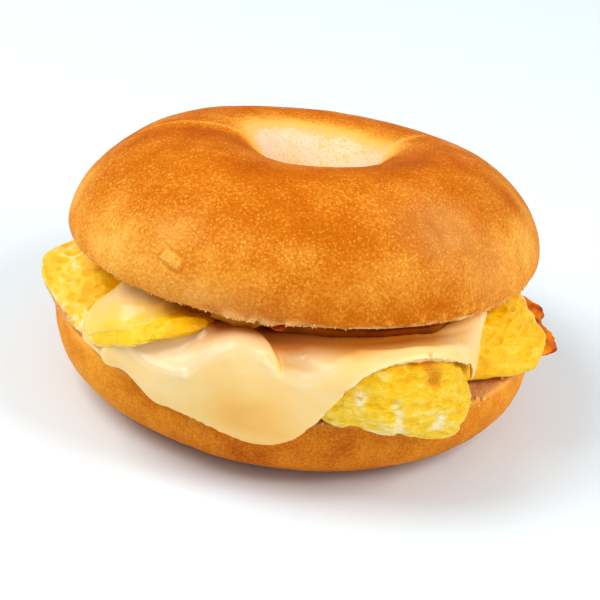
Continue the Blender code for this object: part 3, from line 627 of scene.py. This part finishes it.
cheese_finish = cheese_material("melted_cheese")
melted_cheese = finer_copy("cheese_front", "melted_cheese", 3, CHEESE_GRID, 2)
place, _ = read_points(melted_cheese)
azimuth = azimuth_of(place)
cut_finer(melted_cheese, (radius_of(place) > 47.8) & (azimuth > -150.0) & (azimuth < -30.0))
place, facing = read_points(melted_cheese)
radius = radius_of(place)
upper = smooth(0.0, 0.5, facing[:, 2])
beside = place[:, 0] - VALLEY_START[0] - VALLEY_SLANT * (VALLEY_START[1] - place[:, 1])
valley = smooth(-0.7, 1.0, beside) * smooth(10.5, 1.5, beside) * smooth(30.5, 34.0, place[:, 2])
valley *= smooth(-60.0, -57.0, place[:, 1]) * smooth(-44.0, -47.0, place[:, 1])
hump = upper * spot(place, *HUMP)
height = 0.22 * cloud(place, 9.0, 41) + 0.1 * cloud(place, 4.0, 42)
height += 0.55 * bead(place, FOLD_LEFT, 0.9) + 0.55 * bead(place, FOLD_MIDDLE, 1.1)
height += 0.35 * bead(place, FOLD_DOWN, 1.4) + 0.5 * bead(place, FOLD_RIGHT, 1.5)
height += 0.4 * bead(place, LIP_RIGHT, 0.9) + 1.9 * hump - 1.4 * valley
height += 2.6 * bead(place, UNDER_TONGUE, 2.4) + 1.4 * bead(place, UNDER_TONGUE[1:4], 2.2)
height += 1.3 * upper * smooth(50.5, 47.0, radius) * smooth(-30.0, -20.0, place[:, 0])
for wrinkle in WRINKLES:
    height += 0.8 * bead(place, wrinkle, 0.5)
push_out(melted_cheese, height)
laid, laid_facing = read_points(melted_cheese)
hem = bead(laid, LIP_RIGHT, 2.4) * smooth(0.2, -0.4, laid_facing[:, 2])
laid = shift(laid, hem, LIP_RAISED)
laid = shift(laid, spot(laid, UNDER_EGG, (5.0, 7.0, 4.5)), UNDER_EGG_TUCKED_IN)
put_points(melted_cheese, laid)
lean_on(melted_cheese, egg_flap, 3.4)
leaned, _ = read_points(melted_cheese)
right_strip = smooth(33.5, 36.0, laid[:, 0])[:, None]
put_points(melted_cheese, leaned + (laid - leaned) * right_strip)
lean_on(melted_cheese, folded_egg, 1.6)
lean_on(melted_cheese, bottom_ring, 1.6)
soften(melted_cheese, 2)
_, facing = read_points(melted_cheese)
# Painted light: faces turned towards the lamp at the left are painted a duller cream.
lit_cream = 0.8 * lit_cream_of(facing) * (1.0 - 0.75 * smooth(2.0, 14.0, place[:, 0]))
store(melted_cheese, "lit_cream", lit_cream)
tone = 0.54 + 0.1 * cloud(place, 12.0, 43) + 0.08 * cloud(place, 4.0, 44)
# Painted shade: darker on the hanging belly.
tone -= 0.4 * spot(place, *BELLY) - 0.2 * smooth(33.0, 40.0, place[:, 0])
tone -= 0.16 * smooth(24.0, 18.5, place[:, 2]) + 0.2 * bead(place, HUMP_SIDE, 2.6)
# Painted shade: darker on top in the slot under the rim of the top ring, in the valley, and on the
# right top near the rim.
shaded = smooth(-0.2, 0.8, facing[:, 2]) * smooth(57.2, 50.0, radius) * smooth(34.0, 42.0, radius)
shaded *= smooth(-30.0, -22.0, place[:, 0]) * (0.25 + 0.75 * smooth(35.0, 22.0, place[:, 0]))
shaded_right_top = upper * smooth(59.0, 54.0, radius) * smooth(4.0, 12.0, place[:, 0])
tone -= 0.45 * shaded + 0.5 * valley + 0.6 * shaded_right_top * smooth(34.0, 26.0, place[:, 0])
# Painted highlights: paler along the ridges of the folds, the right lip and the wrinkles.
tone += 0.3 * bead(place, FOLD_LEFT, 0.9) + 0.3 * bead(place, FOLD_MIDDLE, 1.1)
tone += 0.2 * bead(place, FOLD_DOWN, 1.4) + 0.15 * bead(place, FOLD_RIGHT, 1.4)
tone += 0.3 * bead(place, LIP_RIGHT, 0.8) + 0.05 * hump
for wrinkle in WRINKLES:
    tone += 0.5 * bead(place, wrinkle, 0.4)
store(melted_cheese, "tone", tone)
over_egg = np.minimum(1.0, 2.0 * spot(place, UNDER_EGG, (4.0, 5.5, 3.5)))
store(melted_cheese, "over_egg", np.maximum(0.8 * spot(place, *THIN_LEFT_END), over_egg))
# Painted shade: browner in the slot under the rim of the top ring, in the valley, and as a golden tint
# where the tongue of egg shades the cheese; the speck is a real bit of bacon.
browning_and_shade = np.minimum(0.86, 0.92 * shaded + 0.5 * valley * smooth(-58.0, -51.0, place[:, 1]))
browning_and_shade = np.maximum(browning_and_shade, 0.32 * bead(place, UNDER_TONGUE[2:], 3.0))
browning_and_shade = np.maximum(browning_and_shade, 0.95 * spot(place, *BACON_SPECK))
store(melted_cheese, "browning_and_shade", browning_and_shade)
melted_cheese.data.materials.append(cheese_finish)
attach(melted_cheese, "root")
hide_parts("cheese_front")


# Egg tongue
# Another fold of the egg sheet, on the cheese at the left. It slopes out from under the top
# ring and ends in a lumpy yellow edge, browned where it lay in the pan.

TONGUE_GRID = 0.36
TONGUE_LIP = ((-44.5, -39.5, 26.4), (-41.0, -44.0, 27.0), (-36.7, -47.9, 28.9), (-31.3, -50.9, 31.8))
TONGUE_HEEL = ((-26.0, -52.0, 33.5), (-18.0, -50.0, 35.0))
TONGUE_FOLD = ((-26.5, -48.6, 37.0), (-24.0, -47.6, 37.6), (-19.3, -47.6, 37.5))
TONGUE_HOLLOW = ((-22.0, -43.0, 37.0), (3.5, 3.0, 2.0))
TONGUE_LIP_RAISED = (0.0, 0.0, 1.0)
TONGUE_BROWN = (((-23.2, -40.3, 36.6), (3.4, 3.4, 1.8), 0.95),
                ((-20.5, -47.2, 36.7), (4.5, 1.3, 1.2), 0.7),
                ((-18.5, -42.5, 37.2), (2.5, 3.5, 2.0), 0.5),
                ((-27.0, -47.5, 36.0), (6.0, 4.0, 3.0), 0.2),
                ((-33.0, -50.0, 30.0), (5.0, 1.5, 0.8), 0.2))
VEIL_END = ((-45.6, -37.4, 29.3), (-37.3, -44.6, 33.0), (-28.7, -47.1, 36.6))
LEFT_SIDE = ((-43.0, -28.5, 35.0), (4.5, 8.0, 6.0))
LEFT_SIDE_DRAWN_IN = (2.6, -1.3, 0.0)

egg_tongue = finer_copy("egg_upper", "egg_tongue", 3, TONGUE_GRID, 8)
place, _ = read_points(egg_tongue)
place = shift(place, spot(place, *LEFT_SIDE), LEFT_SIDE_DRAWN_IN)
put_points(egg_tongue, place)
folds = worms(place * np.array([0.6, 0.9, 1.2]), 2.2, 52)
height = 0.2 * cloud(place, 4.0, 51) + 0.12 * folds + 0.3 * bead(place, TONGUE_LIP, 0.8) + 0.25
height += 0.5 * bead(place, TONGUE_FOLD, 0.9) - 0.6 * spot(place, *TONGUE_HOLLOW)
push_out(egg_tongue, height)
place, facing = read_points(egg_tongue)
raised = bead(place, TONGUE_LIP[2:] + TONGUE_HEEL, 3.0) * smooth(0.5, -0.5, facing[:, 2])
put_points(egg_tongue, shift(place, raised, TONGUE_LIP_RAISED))
lean_on(egg_tongue, melted_cheese, 3.2, 0.3)
lean_on(egg_tongue, folded_egg, 2.0, 0.2)
# Painted highlights: paler on the wrinkle ridges, along the lip and along the fold.
tone = 0.26 + 0.12 * cloud(place, 5.0, 53) + 0.1 * cloud(place, 2.0, 54) + 0.16 * folds
tone += 0.55 * bead(place, TONGUE_LIP, 0.7) + 0.3 * bead(place, TONGUE_FOLD, 0.7)
tone += 0.3 * bead(place, VEIL_END, 2.8) - 0.16 * smooth(-32.0, -26.0, place[:, 0])
store(egg_tongue, "tone", tone)
ragged = smooth(-0.5, 0.3, cloud(place, 1.6, 57))
store(egg_tongue, "browning_and_shade", strongest(place, TONGUE_BROWN) * ragged)
egg_tongue.data.materials.append(egg_material("egg_tongue_skin", 0.5))
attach(egg_tongue, "root")
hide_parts("egg_upper")


# Upper cheese
# A thin second slice, melted over the tongue of egg so far that the yellow shows through
# towards its lower edge.

FRONT_RUN = (-1.0, -1.4, -2.2)
# Painted shade: where the veil runs under the rim at its right end it is painted browner.
SHADED_END = ((-24.5, -38.5, 36.8), (4.5, 4.5, 3.0))


def melt_rim(piece, support, width, thin, run):
    """Thin the rim of a melted slice, which runs down a little on the piece that it lies on."""
    place, facing = read_points(piece)
    _, out, gap = nearest_on(piece, support, 5.0)
    at_rim = (np.abs(np.sum(facing * out, axis=1)) < 0.5) & (gap < 3.6)
    tree = KDTree(int(at_rim.sum()))
    for number, here in enumerate(place[at_rim]):
        tree.insert(here, number)
    tree.balance()
    inland = np.array([tree.find(here)[2] for here in place])
    share = smooth(width, 0.0, inland) * smooth(5.0, 3.5, gap)
    on_top = np.sum(facing * out, axis=1) > 0.0
    place = place + share[:, None] * run
    put_points(piece, place)
    there, out, _ = nearest_on(piece, support, 8.0)
    low = there + out * np.where(on_top, thin, -thin)[:, None]
    put_points(piece, place + (low - place) * share[:, None])
    return inland, gap


cheese_veil = finer_copy("cheese_upper", "cheese_veil", 3, TONGUE_GRID, 4)
place, _ = read_points(cheese_veil)
place = shift(place, spot(place, *LEFT_SIDE), LEFT_SIDE_DRAWN_IN)
put_points(cheese_veil, place)
along_fall = place * np.array([1.0, 0.6, 0.6])
streaks = cloud(along_fall, 2.2, 62)
push_out(cheese_veil, 0.25 * cloud(place, 5.0, 61) + 0.22 * streaks)
lean_on(cheese_veil, egg_tongue, 2.4)
at_front = smooth(-33.0, -40.0, place[:, 1]) * (1.0 + 0.4 * cloud(place, 4.0, 64))
run = at_front[:, None] * np.array(FRONT_RUN)
inland, above_egg = melt_rim(cheese_veil, egg_tongue, 4.0, 0.08, run)
soften(cheese_veil, 5)
place, facing = read_points(cheese_veil)
ragged = 0.8 + 0.3 * cloud(along_fall, 2.4, 65) + smooth(2.0, 0.5, inland)
thinned = smooth(8.0, 1.4, inland) * (above_egg < 5.0) * np.minimum(1.0, ragged)
store(cheese_veil, "tone", 0.64 + 0.1 * cloud(place, 8.0, 63) + 0.24 * streaks)
# Painted light: the veil is painted a duller cream where it faces the lamp at the left.
store(cheese_veil, "lit_cream", 0.75 * lit_cream_of(facing))
store(cheese_veil, "over_egg", 0.9 * thinned)
# Painted shade at the veil's right end, under the rim.
store(cheese_veil, "browning_and_shade", 0.75 * spot(place, *SHADED_END))
cheese_veil.data.materials.append(cheese_finish)
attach(cheese_veil, "root")
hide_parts("cheese_upper")


# Front bacon strip
# A second rasher, pressed flat between the cheese and the top ring. Only its edge shows, in
# the shadow under the rim. It is painted as dark as that shade, and its left end the golden
# brown of cheese in shade: painted shade.

EDGE_DRAWN_IN = 1.4
MIDDLE_RAISED = (0.0, 0.0, 0.8)
# Painted shade: stops darkened to the shade under the rim; the palest is the golden brown of cheese in
# shade.
SHADED_BACON_STOPS = ((0.0, 222, 146, 36), (0.35, 156, 74, 0), (1.0, 106, 42, 0))

bacon_front = finer_copy("bacon_front", "bacon_strip_front", 2, BACON_GRID, 1)
place, _ = read_points(bacon_front)
radius = radius_of(place)
drawn_in = EDGE_DRAWN_IN * smooth(44.0, 49.0, radius)
place[:, :2] *= (1.0 - drawn_in / np.maximum(radius, 1.0))[:, None]
put_points(bacon_front, place)
push_out(bacon_front, 0.16 * cloud(place, 2.6, 71) + 0.1 * cloud(place, 1.1, 73))
place, facing = read_points(bacon_front)
middle = smooth(12.0, 2.0, place[:, 0]) * smooth(-12.0, -5.0, place[:, 0])
place = shift(place, smooth(0.0, 0.6, facing[:, 2]) * middle, MIDDLE_RAISED)
put_points(bacon_front, place)
lean_on(bacon_front, melted_cheese, 2.6, 0.1)
# Painted shade: the left end is painted the golden brown of cheese in shade.
like_shaded_cheese = smooth(-1.0, -8.0, place[:, 0])
store(bacon_front, "char_and_shade", 0.5 + 0.2 * cloud(place, 3.0, 72) - 0.6 * like_shaded_cheese)
bacon_front.data.materials.append(bacon_material("shade_dark_bacon", SHADED_BACON_STOPS))
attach(bacon_front, "root")
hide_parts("bacon_front")


# Top ring
# The upper half of the bagel. Golden brown crust full of fine blisters, paler down to the cut
# edge, and an unbrowned cream wall inside the hole where the dough stayed shaded.

TOP_CUT_HEIGHT = 34.05
TOP_CUT_FALL_RIGHT = 0.016
TOP_CUT_FALL_BACK = 0.126
CREST_LINE = ((-40.0, 3.0, 57.0), (-37.0, 2.5, 58.3), (-27.7, 1.8, 60.6), (-21.0, 3.2, 59.8),
              (-17.5, 2.4, 58.9))
SHADED_CREST = ((-37.0, -3.5, 58.0), (-27.0, -4.5, 60.5), (-19.0, -3.5, 60.3), (-16.5, -6.0, 60.0))
HOLE_CREASE = ((18.6, 10.0, 56.6), (22.0, 14.5, 56.4), (25.0, 19.0, 55.6))
# Painted shade: a darker band on the front slope below the crest, right of the hole.
SHADED_BAND_RIGHT = ((15.0, -18.5, 64.0), (24.0, -12.5, 62.5), (34.0, -7.0, 59.5), (43.5, -5.5, 53.5))
DARK_PLACES = (((-18.5, -4.5, 60.5), (5.0, 5.0, 3.5), 0.06),
               ((-12.0, -28.0, 64.4), (5.5, 4.0, 3.0), 0.16),
               ((45.5, -6.5, 52.0), (3.5, 4.0, 6.0), 0.12),
               ((5.0, -40.0, 60.2), (12.0, 7.0, 8.0), 0.08))
# Places painted paler: partly paler crust low on the front, partly painted light on the left and right
# sides where the lamps fall, and one spot under a painted highlight.
PALE_AND_LIT_PLACES = (((-40.0, -36.0, 46.0), (12.0, 13.0, 10.0), 0.22),
               ((49.0, -16.0, 45.0), (8.0, 14.0, 10.0), 0.2),
               ((-20.0, -48.0, 46.0), (14.0, 8.0, 6.0), 0.06),
               ((-52.0, -5.0, 50.0), (6.0, 14.0, 10.0), 0.1),
               ((-27.0, -42.0, 54.5), (7.0, 5.0, 4.5), 0.14))
# Painted highlights: broad patches where the crust is painted paler and pinker.
PAINTED_HIGHLIGHT_PLACES = (((-27.0, -41.5, 55.0), (7.0, 4.0, 4.0), 0.2),
                ((29.0, -33.0, 56.5), (11.0, 8.0, 8.0), 0.32),
                ((-18.0, -50.0, 45.0), (14.0, 8.0, 3.5), 0.25),
                ((40.0, -28.0, 46.0), (8.0, 8.0, 8.0), 0.2))
SQUARE_BLISTER = ((-28.7, -44.9, 51.0), (-25.5, -47.3, 50.1))
RIM_BLISTERS = ((19.0, -48.9, 41.8), (26.2, -45.2, 41.4), (30.7, -42.0, 41.2),
                (35.3, -38.1, 40.7), (37.0, -36.3, 40.9), (39.1, -34.2, 40.5))
PIT = ((-49.1, -22.7, 46.3), (1.0, 1.2, 1.6))
TORN_LIP = ((-14.5, -52.4, 42.4), (-9.0, -53.4, 42.0), (-5.2, -53.2, 41.6))
FLAKE = ((-1.9, -53.9, 42.4), (0.6, -54.2, 42.3), (2.8, -54.3, 42.0))
TOP_CRUST_STOPS = ((0.0, 240, 206, 174), (0.16, 244, 186, 106), (0.36, 245, 182, 80),
                   (0.56, 228, 146, 46), (0.76, 202, 107, 14), (1.0, 174, 80, 4))


def above_top_cut(place):
    """Height of points over the slanting cut of the top ring."""
    cut = TOP_CUT_HEIGHT - TOP_CUT_FALL_RIGHT * place[:, 0] - TOP_CUT_FALL_BACK * place[:, 1]
    return place[:, 2] - cut


top_ring = finer_copy("bun_top", "top_ring", 2, CRUST_GRID, 3)
place, _ = read_points(top_ring)
at_rim = (above_top_cut(place) < 3.6) & (radius_of(place) > 45.0) & (place[:, 1] < 4.0)
cut_finer(top_ring, at_rim | (far_from(place, SQUARE_BLISTER) < 2.8))
place, facing = read_points(top_ring)
radius = radius_of(place)
above_cut = above_top_cut(place)
cut_face = smooth(0.9, 0.3, above_cut) * smooth(-0.4, -0.8, facing[:, 2])
outer = smooth(42.0, 46.0, radius)
lumps = 0.35 * cloud(place, 23.0, 81) + 0.16 * cloud(place, 8.0, 82) + 0.05 * cloud(place, 2.4, 83)
lumps += 0.3 * bead(place, CREST_LINE, 1.3) - 0.25 * bead(place, HOLE_CREASE, 0.8)
lip = smooth(1.7, 0.1, above_cut) * outer * (1.0 - cut_face)
lumps += lip * (0.3 * cloud(place, 2.0, 86) + 0.26 * cloud(place, 0.9, 87))
blister_ends = np.array(SQUARE_BLISTER)
long_way = blister_ends[1] - blister_ends[0]
from_middle = place - np.mean(blister_ends, axis=0)
along = np.abs(from_middle @ long_way / np.linalg.norm(long_way))
across = np.sqrt(np.maximum(np.sum(from_middle ** 2, axis=1) - along ** 2, 0.0))
blister_top = smooth(3.0, 2.3, along) * smooth(1.6, 0.9, across)
blister_foot = smooth(3.8, 2.7, along) * smooth(2.4, 1.4, across) - blister_top
rim_blisters = all_of(place, [(centre, (1.0, 1.0, 1.0), 1.0) for centre in RIM_BLISTERS])
lumps += 0.5 * blister_top - 0.26 * blister_foot + 0.45 * rim_blisters
torn = bead(place, TORN_LIP, 1.1) * smooth(-0.7, 0.2, cloud(place, 1.2, 88))
flake = bead(place, FLAKE, 0.8)
lumps += 0.9 * torn + 1.1 * flake - 0.5 * spot(place, *PIT)
push_out(top_ring, lumps * (1.0 - cut_face))
behind = smooth(-6.0, 6.0, place[:, 1])
unbrowned = smooth(17.5 + 7.0 * behind, 13.0 + 1.0 * behind, radius) * smooth(2.0, 6.0, above_cut)
unbrowned *= smooth(60.6, 56.2, place[:, 2])
bake_and_shading = 0.56 + 0.12 * smooth(4.0, 22.0, above_cut) + 0.1 * smooth(38.0, 24.0, radius) * (1.0 - behind)
bake_and_shading += 0.07 * cloud(place, 14.0, 84) + 0.06 * cloud(place, 5.0, 85)
# Painted shade on the slope in front of the crest left of the hole, and a painted highlight along the
# crest line itself.
bake_and_shading += 0.1 * bead(place, SHADED_CREST, 4.0) - 0.2 * bead(place, CREST_LINE, 0.9)
# Painted shade: darker low on the front, away from the left end, where the crust curves under.
low = smooth(14.0, 2.0, above_cut) * smooth(-32.0, -6.0, place[:, 0])
bake_and_shading += 0.15 * low * smooth(-20.0, -40.0, place[:, 1])
bake_and_shading += 0.04 * smooth(10.0, -20.0, place[:, 1]) * smooth(50.0, 44.0, radius)
# Painted shade in the band below the crest right of the hole, and a paler line in the crease.
bake_and_shading += 0.1 * bead(place, SHADED_BAND_RIGHT, 3.2) - 0.25 * bead(place, HOLE_CREASE, 0.9)
bake_and_shading += 0.1 * smooth(22.0, 28.0, radius) * behind * smooth(40.0, 30.0, radius)
# Darker patches, and paler places that are partly painted light.
bake_and_shading += all_of(place, DARK_PLACES) - all_of(place, PALE_AND_LIT_PLACES)
bake_and_shading -= 0.06 * blister_top - 0.06 * blister_foot + 0.18 * rim_blisters
bake_and_shading = bake_and_shading * (1.0 - unbrowned) - 0.03 * unbrowned
store(top_ring, "bake_and_shading", bake_and_shading)
# Painted highlights on the crown.
store(top_ring, "painted_highlight", all_of(place, PAINTED_HIGHLIGHT_PLACES) * (1.0 + 0.4 * cloud(place, 2.0, 93)))
fringe = 0.95 * smooth(1.9, 0.8, above_cut) * outer * smooth(-0.8, 0.3, cloud(place, 1.5, 89))
store(top_ring, "crumb", np.max([cut_face, fringe, 0.8 * torn, 0.8 * flake], axis=0))
speckled = 0.5 + 0.5 * smooth(6.0, 18.0, above_cut) + 0.2 * cloud(place, 9.0, 90)
store(top_ring, "blister", speckled * (1.0 - unbrowned))
top_ring.data.materials.append(crust_material("top_crust", TOP_CRUST_STOPS, 0.72, 0.25))
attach(top_ring, "root")
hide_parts("bun_top")


# Toasted crumbs
# Ragged bits of crust and crumb that cling to the two cut edges since the bagel was sliced and
# toasted. Small rough grains scattered on the edges of the rings.

SMALLEST_GRAIN = 0.12
FULL_TURN = 6.283
COARSE_PLACES = (((-38.0, -44.0, 19.5), (2.2, 1.6, 1.0), 1.0),
                 ((41.0, -39.5, 19.6), (1.4, 1.4, 0.8), 1.0))
CRUMB_STOPS = ((0.3, 214, 130, 42), (0.5, 240, 180, 94), (0.7, 252, 216, 154))


def crumb_tree():
    """Scatter rough grains on a surface where its crumb_seat is high."""
    tree = bpy.data.node_groups.new("scatter_crumbs", "GeometryNodeTree")
    face = tree.interface
    face.new_socket("Geometry", in_out="INPUT", socket_type="NodeSocketGeometry")
    for socket in ("Grains per square metre", "Smallest grain", "Largest grain"):
        face.new_socket(socket, in_out="INPUT", socket_type="NodeSocketFloat")
    face.new_socket("Seed", in_out="INPUT", socket_type="NodeSocketInt")
    face.new_socket("Finish", in_out="INPUT", socket_type="NodeSocketMaterial")
    face.new_socket("Geometry", in_out="OUTPUT", socket_type="NodeSocketGeometry")

    def node(kind, **settings):
        made = tree.nodes.new(kind)
        for key, value in settings.items():
            setattr(made, key, value)
        return made

    given = node("NodeGroupInput").outputs
    seat = node("GeometryNodeInputNamedAttribute", data_type="FLOAT")
    seat.inputs["Name"].default_value = "crumb_seat"
    often = node("ShaderNodeMath", operation="MULTIPLY")
    scatter = node("GeometryNodeDistributePointsOnFaces", distribute_method="RANDOM")
    grain = node("GeometryNodeMeshIcoSphere")
    grain.inputs["Radius"].default_value = 1.0
    grain.inputs["Subdivisions"].default_value = 1
    dents = node("ShaderNodeTexNoise")
    dents.inputs["Scale"].default_value = 1.3
    rough = node("ShaderNodeVectorMath", operation="SCALE")
    dented = node("GeometryNodeSetPosition")
    size = node("FunctionNodeRandomValue", data_type="FLOAT")
    turn = node("FunctionNodeRandomValue", data_type="FLOAT_VECTOR")
    turn.inputs["Max"].default_value = (FULL_TURN, FULL_TURN, FULL_TURN)
    place_grains = node("GeometryNodeInstanceOnPoints")
    real = node("GeometryNodeRealizeInstances")
    finish = node("GeometryNodeSetMaterial")
    result = node("NodeGroupOutput")
    join = tree.links.new
    join(given["Geometry"], scatter.inputs["Mesh"])
    join(seat.outputs["Attribute"], often.inputs[0])
    join(given["Grains per square metre"], often.inputs[1])
    join(often.outputs[0], scatter.inputs["Density"])
    join(given["Seed"], scatter.inputs["Seed"])
    join(dents.outputs["Color"], rough.inputs[0])
    rough.inputs["Scale"].default_value = 1.1
    join(rough.outputs["Vector"], dented.inputs["Offset"])
    join(grain.outputs["Mesh"], dented.inputs["Geometry"])
    join(given["Smallest grain"], size.inputs[2])
    join(given["Largest grain"], size.inputs[3])
    join(given["Seed"], size.inputs["Seed"])
    join(scatter.outputs["Points"], place_grains.inputs["Points"])
    join(dented.outputs["Geometry"], place_grains.inputs["Instance"])
    join(turn.outputs[0], place_grains.inputs["Rotation"])
    join(size.outputs[1], place_grains.inputs["Scale"])
    join(place_grains.outputs["Instances"], real.inputs["Geometry"])
    join(real.outputs["Geometry"], finish.inputs["Geometry"])
    join(given["Finish"], finish.inputs["Material"])
    join(finish.outputs["Geometry"], result.inputs[0])
    return tree


def crumb_material():
    """Toasted crumb: light gold with browner grains."""
    material, tree, shader, where = new_material("toasted_crumbs")
    colour = ramp(tree, noise(tree, where, 700.0, 2.0), CRUMB_STOPS)
    tree.links.new(colour, shader.inputs["Base Color"])
    set_finish(shader, {"Roughness": 0.7, "Specular IOR Level": 0.2})
    return material


scatter_crumbs = crumb_tree()
crumb_finish = crumb_material()


def crumbs_on(ring, name, seat, density, largest):
    """Crumbs that cling to a ring where seat is high."""
    piece = new_object(name, ring.data.copy())
    piece.data.materials.clear()
    store(piece, "crumb_seat", seat)
    modifier = piece.modifiers.new("scatter", "NODES")
    modifier.node_group = scatter_crumbs
    values = {"Grains per square metre": density, "Smallest grain": SMALLEST_GRAIN * MM,
              "Largest grain": largest * MM, "Seed": 5, "Finish": crumb_finish}
    for item in scatter_crumbs.interface.items_tree:
        if item.in_out == "INPUT" and item.name in values:
            modifier[item.identifier] = values[item.name]
    settle(piece)
    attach(piece, "root")


place, _ = read_points(top_ring)
above_cut = above_top_cut(place)
seat = smooth(1.7, 1.1, above_cut) * smooth(0.2, 0.7, above_cut)
seat *= smooth(46.0, 49.0, radius_of(place))
seat *= smooth(-0.4, 0.5, cloud(place, 6.0, 91)) + 1.4 * smooth(0.3, 0.7, torn)
crumbs_on(top_ring, "crumbs_top", seat, 2.2e6, 0.27)
place, _ = read_points(bottom_ring)
seat = smooth(1.0, 0.3, np.abs(place[:, 2] - BOTTOM_CUT)) * smooth(48.0, 52.0, radius_of(place))
seat *= smooth(-0.1, 0.6, cloud(place, 6.0, 92))
crumbs_on(bottom_ring, "crumbs_bottom", seat, 0.9e6, 0.42)
crumbs_on(bottom_ring, "crumbs_coarse", all_of(place, COARSE_PLACES), 1.6e6, 0.75)


# Bacon bit
# A reddish fragment that broke off the front rasher and is caught under the rim of the top ring.

BIT_CENTRE = np.array([-3.6, -52.0, 40.3])
BIT_SIZE = np.array([1.4, 0.6, 0.5])

ball = bmesh.new()
bmesh.ops.create_icosphere(ball, subdivisions=3, radius=1.0)
bit_mesh = bpy.data.meshes.new("bacon_bit")
ball.to_mesh(bit_mesh)
ball.free()
bacon_bit = new_object("bacon_bit", bit_mesh)
unit = np.array([v.co[:] for v in bit_mesh.vertices])
rough = 1.0 + 0.55 * cloud(unit, 0.9, 95) + 0.4 * cloud(unit, 0.4, 96)
put_points(bacon_bit, unit * rough[:, None] * BIT_SIZE + BIT_CENTRE)
bit_mesh.shade_smooth()
store(bacon_bit, "char_and_shade", 0.8 + 0.4 * cloud(unit, 0.8, 97))
bit_mesh.materials.append(bacon_finish)
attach(bacon_bit, "root")


# Stage
# A plain pale floor and soft studio lamps: a large one high at the left, a weaker one at the
# right, a faint low fill from the front right, and a pale surround.

FLOOR_REACH = 3.0
FLOOR_GAP = 0.00005
LAMPS = (("left_lamp", (-0.55, -0.05, 0.72), 0.6, 6.3, (1.0, 0.99, 0.97)),
         ("right_lamp", (0.59, -0.29, 0.64), 0.4, 4.3, (1.0, 0.99, 0.97)),
         ("low_fill", (0.62, -0.52, 0.12), 0.4, 0.55, (1.0, 1.0, 1.0)))
LAMPS_LOOK_AT = Vector((0.0, 0.0, 0.03))

floor_mesh = bpy.data.meshes.new("floor")
corners = [(x * FLOOR_REACH, y * FLOOR_REACH, 0.0) for x, y in ((-1, -1), (1, -1), (1, 1), (-1, 1))]
floor_mesh.from_pydata(corners, [], [(0, 1, 2, 3)])
floor = new_object("floor", floor_mesh)
floor.location = (0.0, 0.0, -FLOOR_GAP)
floor_finish = bpy.data.materials.new("pale_floor")
floor_finish.use_nodes = True
set_finish(floor_finish.node_tree.nodes["Principled BSDF"],
           {"Base Color": (0.785, 0.87, 0.93, 1.0), "Roughness": 0.9, "Specular IOR Level": 0.1})
floor_mesh.materials.append(floor_finish)

for name, at, size, power, colour in LAMPS:
    data = bpy.data.lights.new(name, "AREA")
    data.size = size
    data.energy = power
    data.color = colour
    lamp = new_object(name, data)
    lamp.location = at
    lamp.rotation_euler = (Vector(at) - LAMPS_LOOK_AT).to_track_quat("Z", "Y").to_euler()

world = bpy.data.worlds.new("surround")
world.use_nodes = True
set_finish(world.node_tree.nodes["Background"], {"Color": (0.98, 0.99, 1.0, 1.0), "Strength": 0.47})
bpy.context.scene.world = world
bpy.context.scene.view_settings.view_transform = "Standard"
bpy.context.scene.view_settings.look = "None"


# Camera
# It looks down at the sandwich from the front and is rolled a little. Its angle of view is that
# of a frame of 600 by 600 pixels.

FRAME_PIXELS = 600.0
SENSOR_WIDTH = 36.0
CAMERA_TILT = math.radians(27.49)
CAMERA_ROLL = math.radians(5.6)
CAMERA_DISTANCE = 0.5
FOCAL_PIXELS = 2168.0
TARGET = Vector((-0.00015, 0.00265, 0.03))
TARGET_RIGHT_OF_MIDDLE = 3.6
TARGET_ABOVE_MIDDLE = 41.95

ahead = Vector((0.0, math.cos(CAMERA_TILT), -math.sin(CAMERA_TILT)))
level_up = Vector((0.0, math.sin(CAMERA_TILT), math.cos(CAMERA_TILT)))
side = Vector((math.cos(CAMERA_ROLL), 0.0, 0.0)) + level_up * math.sin(CAMERA_ROLL)
up = level_up * math.cos(CAMERA_ROLL) - Vector((math.sin(CAMERA_ROLL), 0.0, 0.0))
stand = TARGET - ahead * CAMERA_DISTANCE
ahead = (ahead * FOCAL_PIXELS - side * TARGET_RIGHT_OF_MIDDLE - up * TARGET_ABOVE_MIDDLE).normalized()
side = (side - ahead * side.dot(ahead)).normalized()
up = side.cross(ahead)
camera_data = bpy.data.cameras.new("camera")
camera_data.sensor_width = SENSOR_WIDTH
camera_data.lens = SENSOR_WIDTH * FOCAL_PIXELS / FRAME_PIXELS
camera_data.clip_start = 0.01
camera_data.clip_end = 20.0
camera = new_object("camera", camera_data)
turn = Matrix((side, up, -ahead)).transposed()
camera.matrix_world = Matrix.Translation(stand) @ turn.to_4x4()
bpy.context.scene.camera = camera
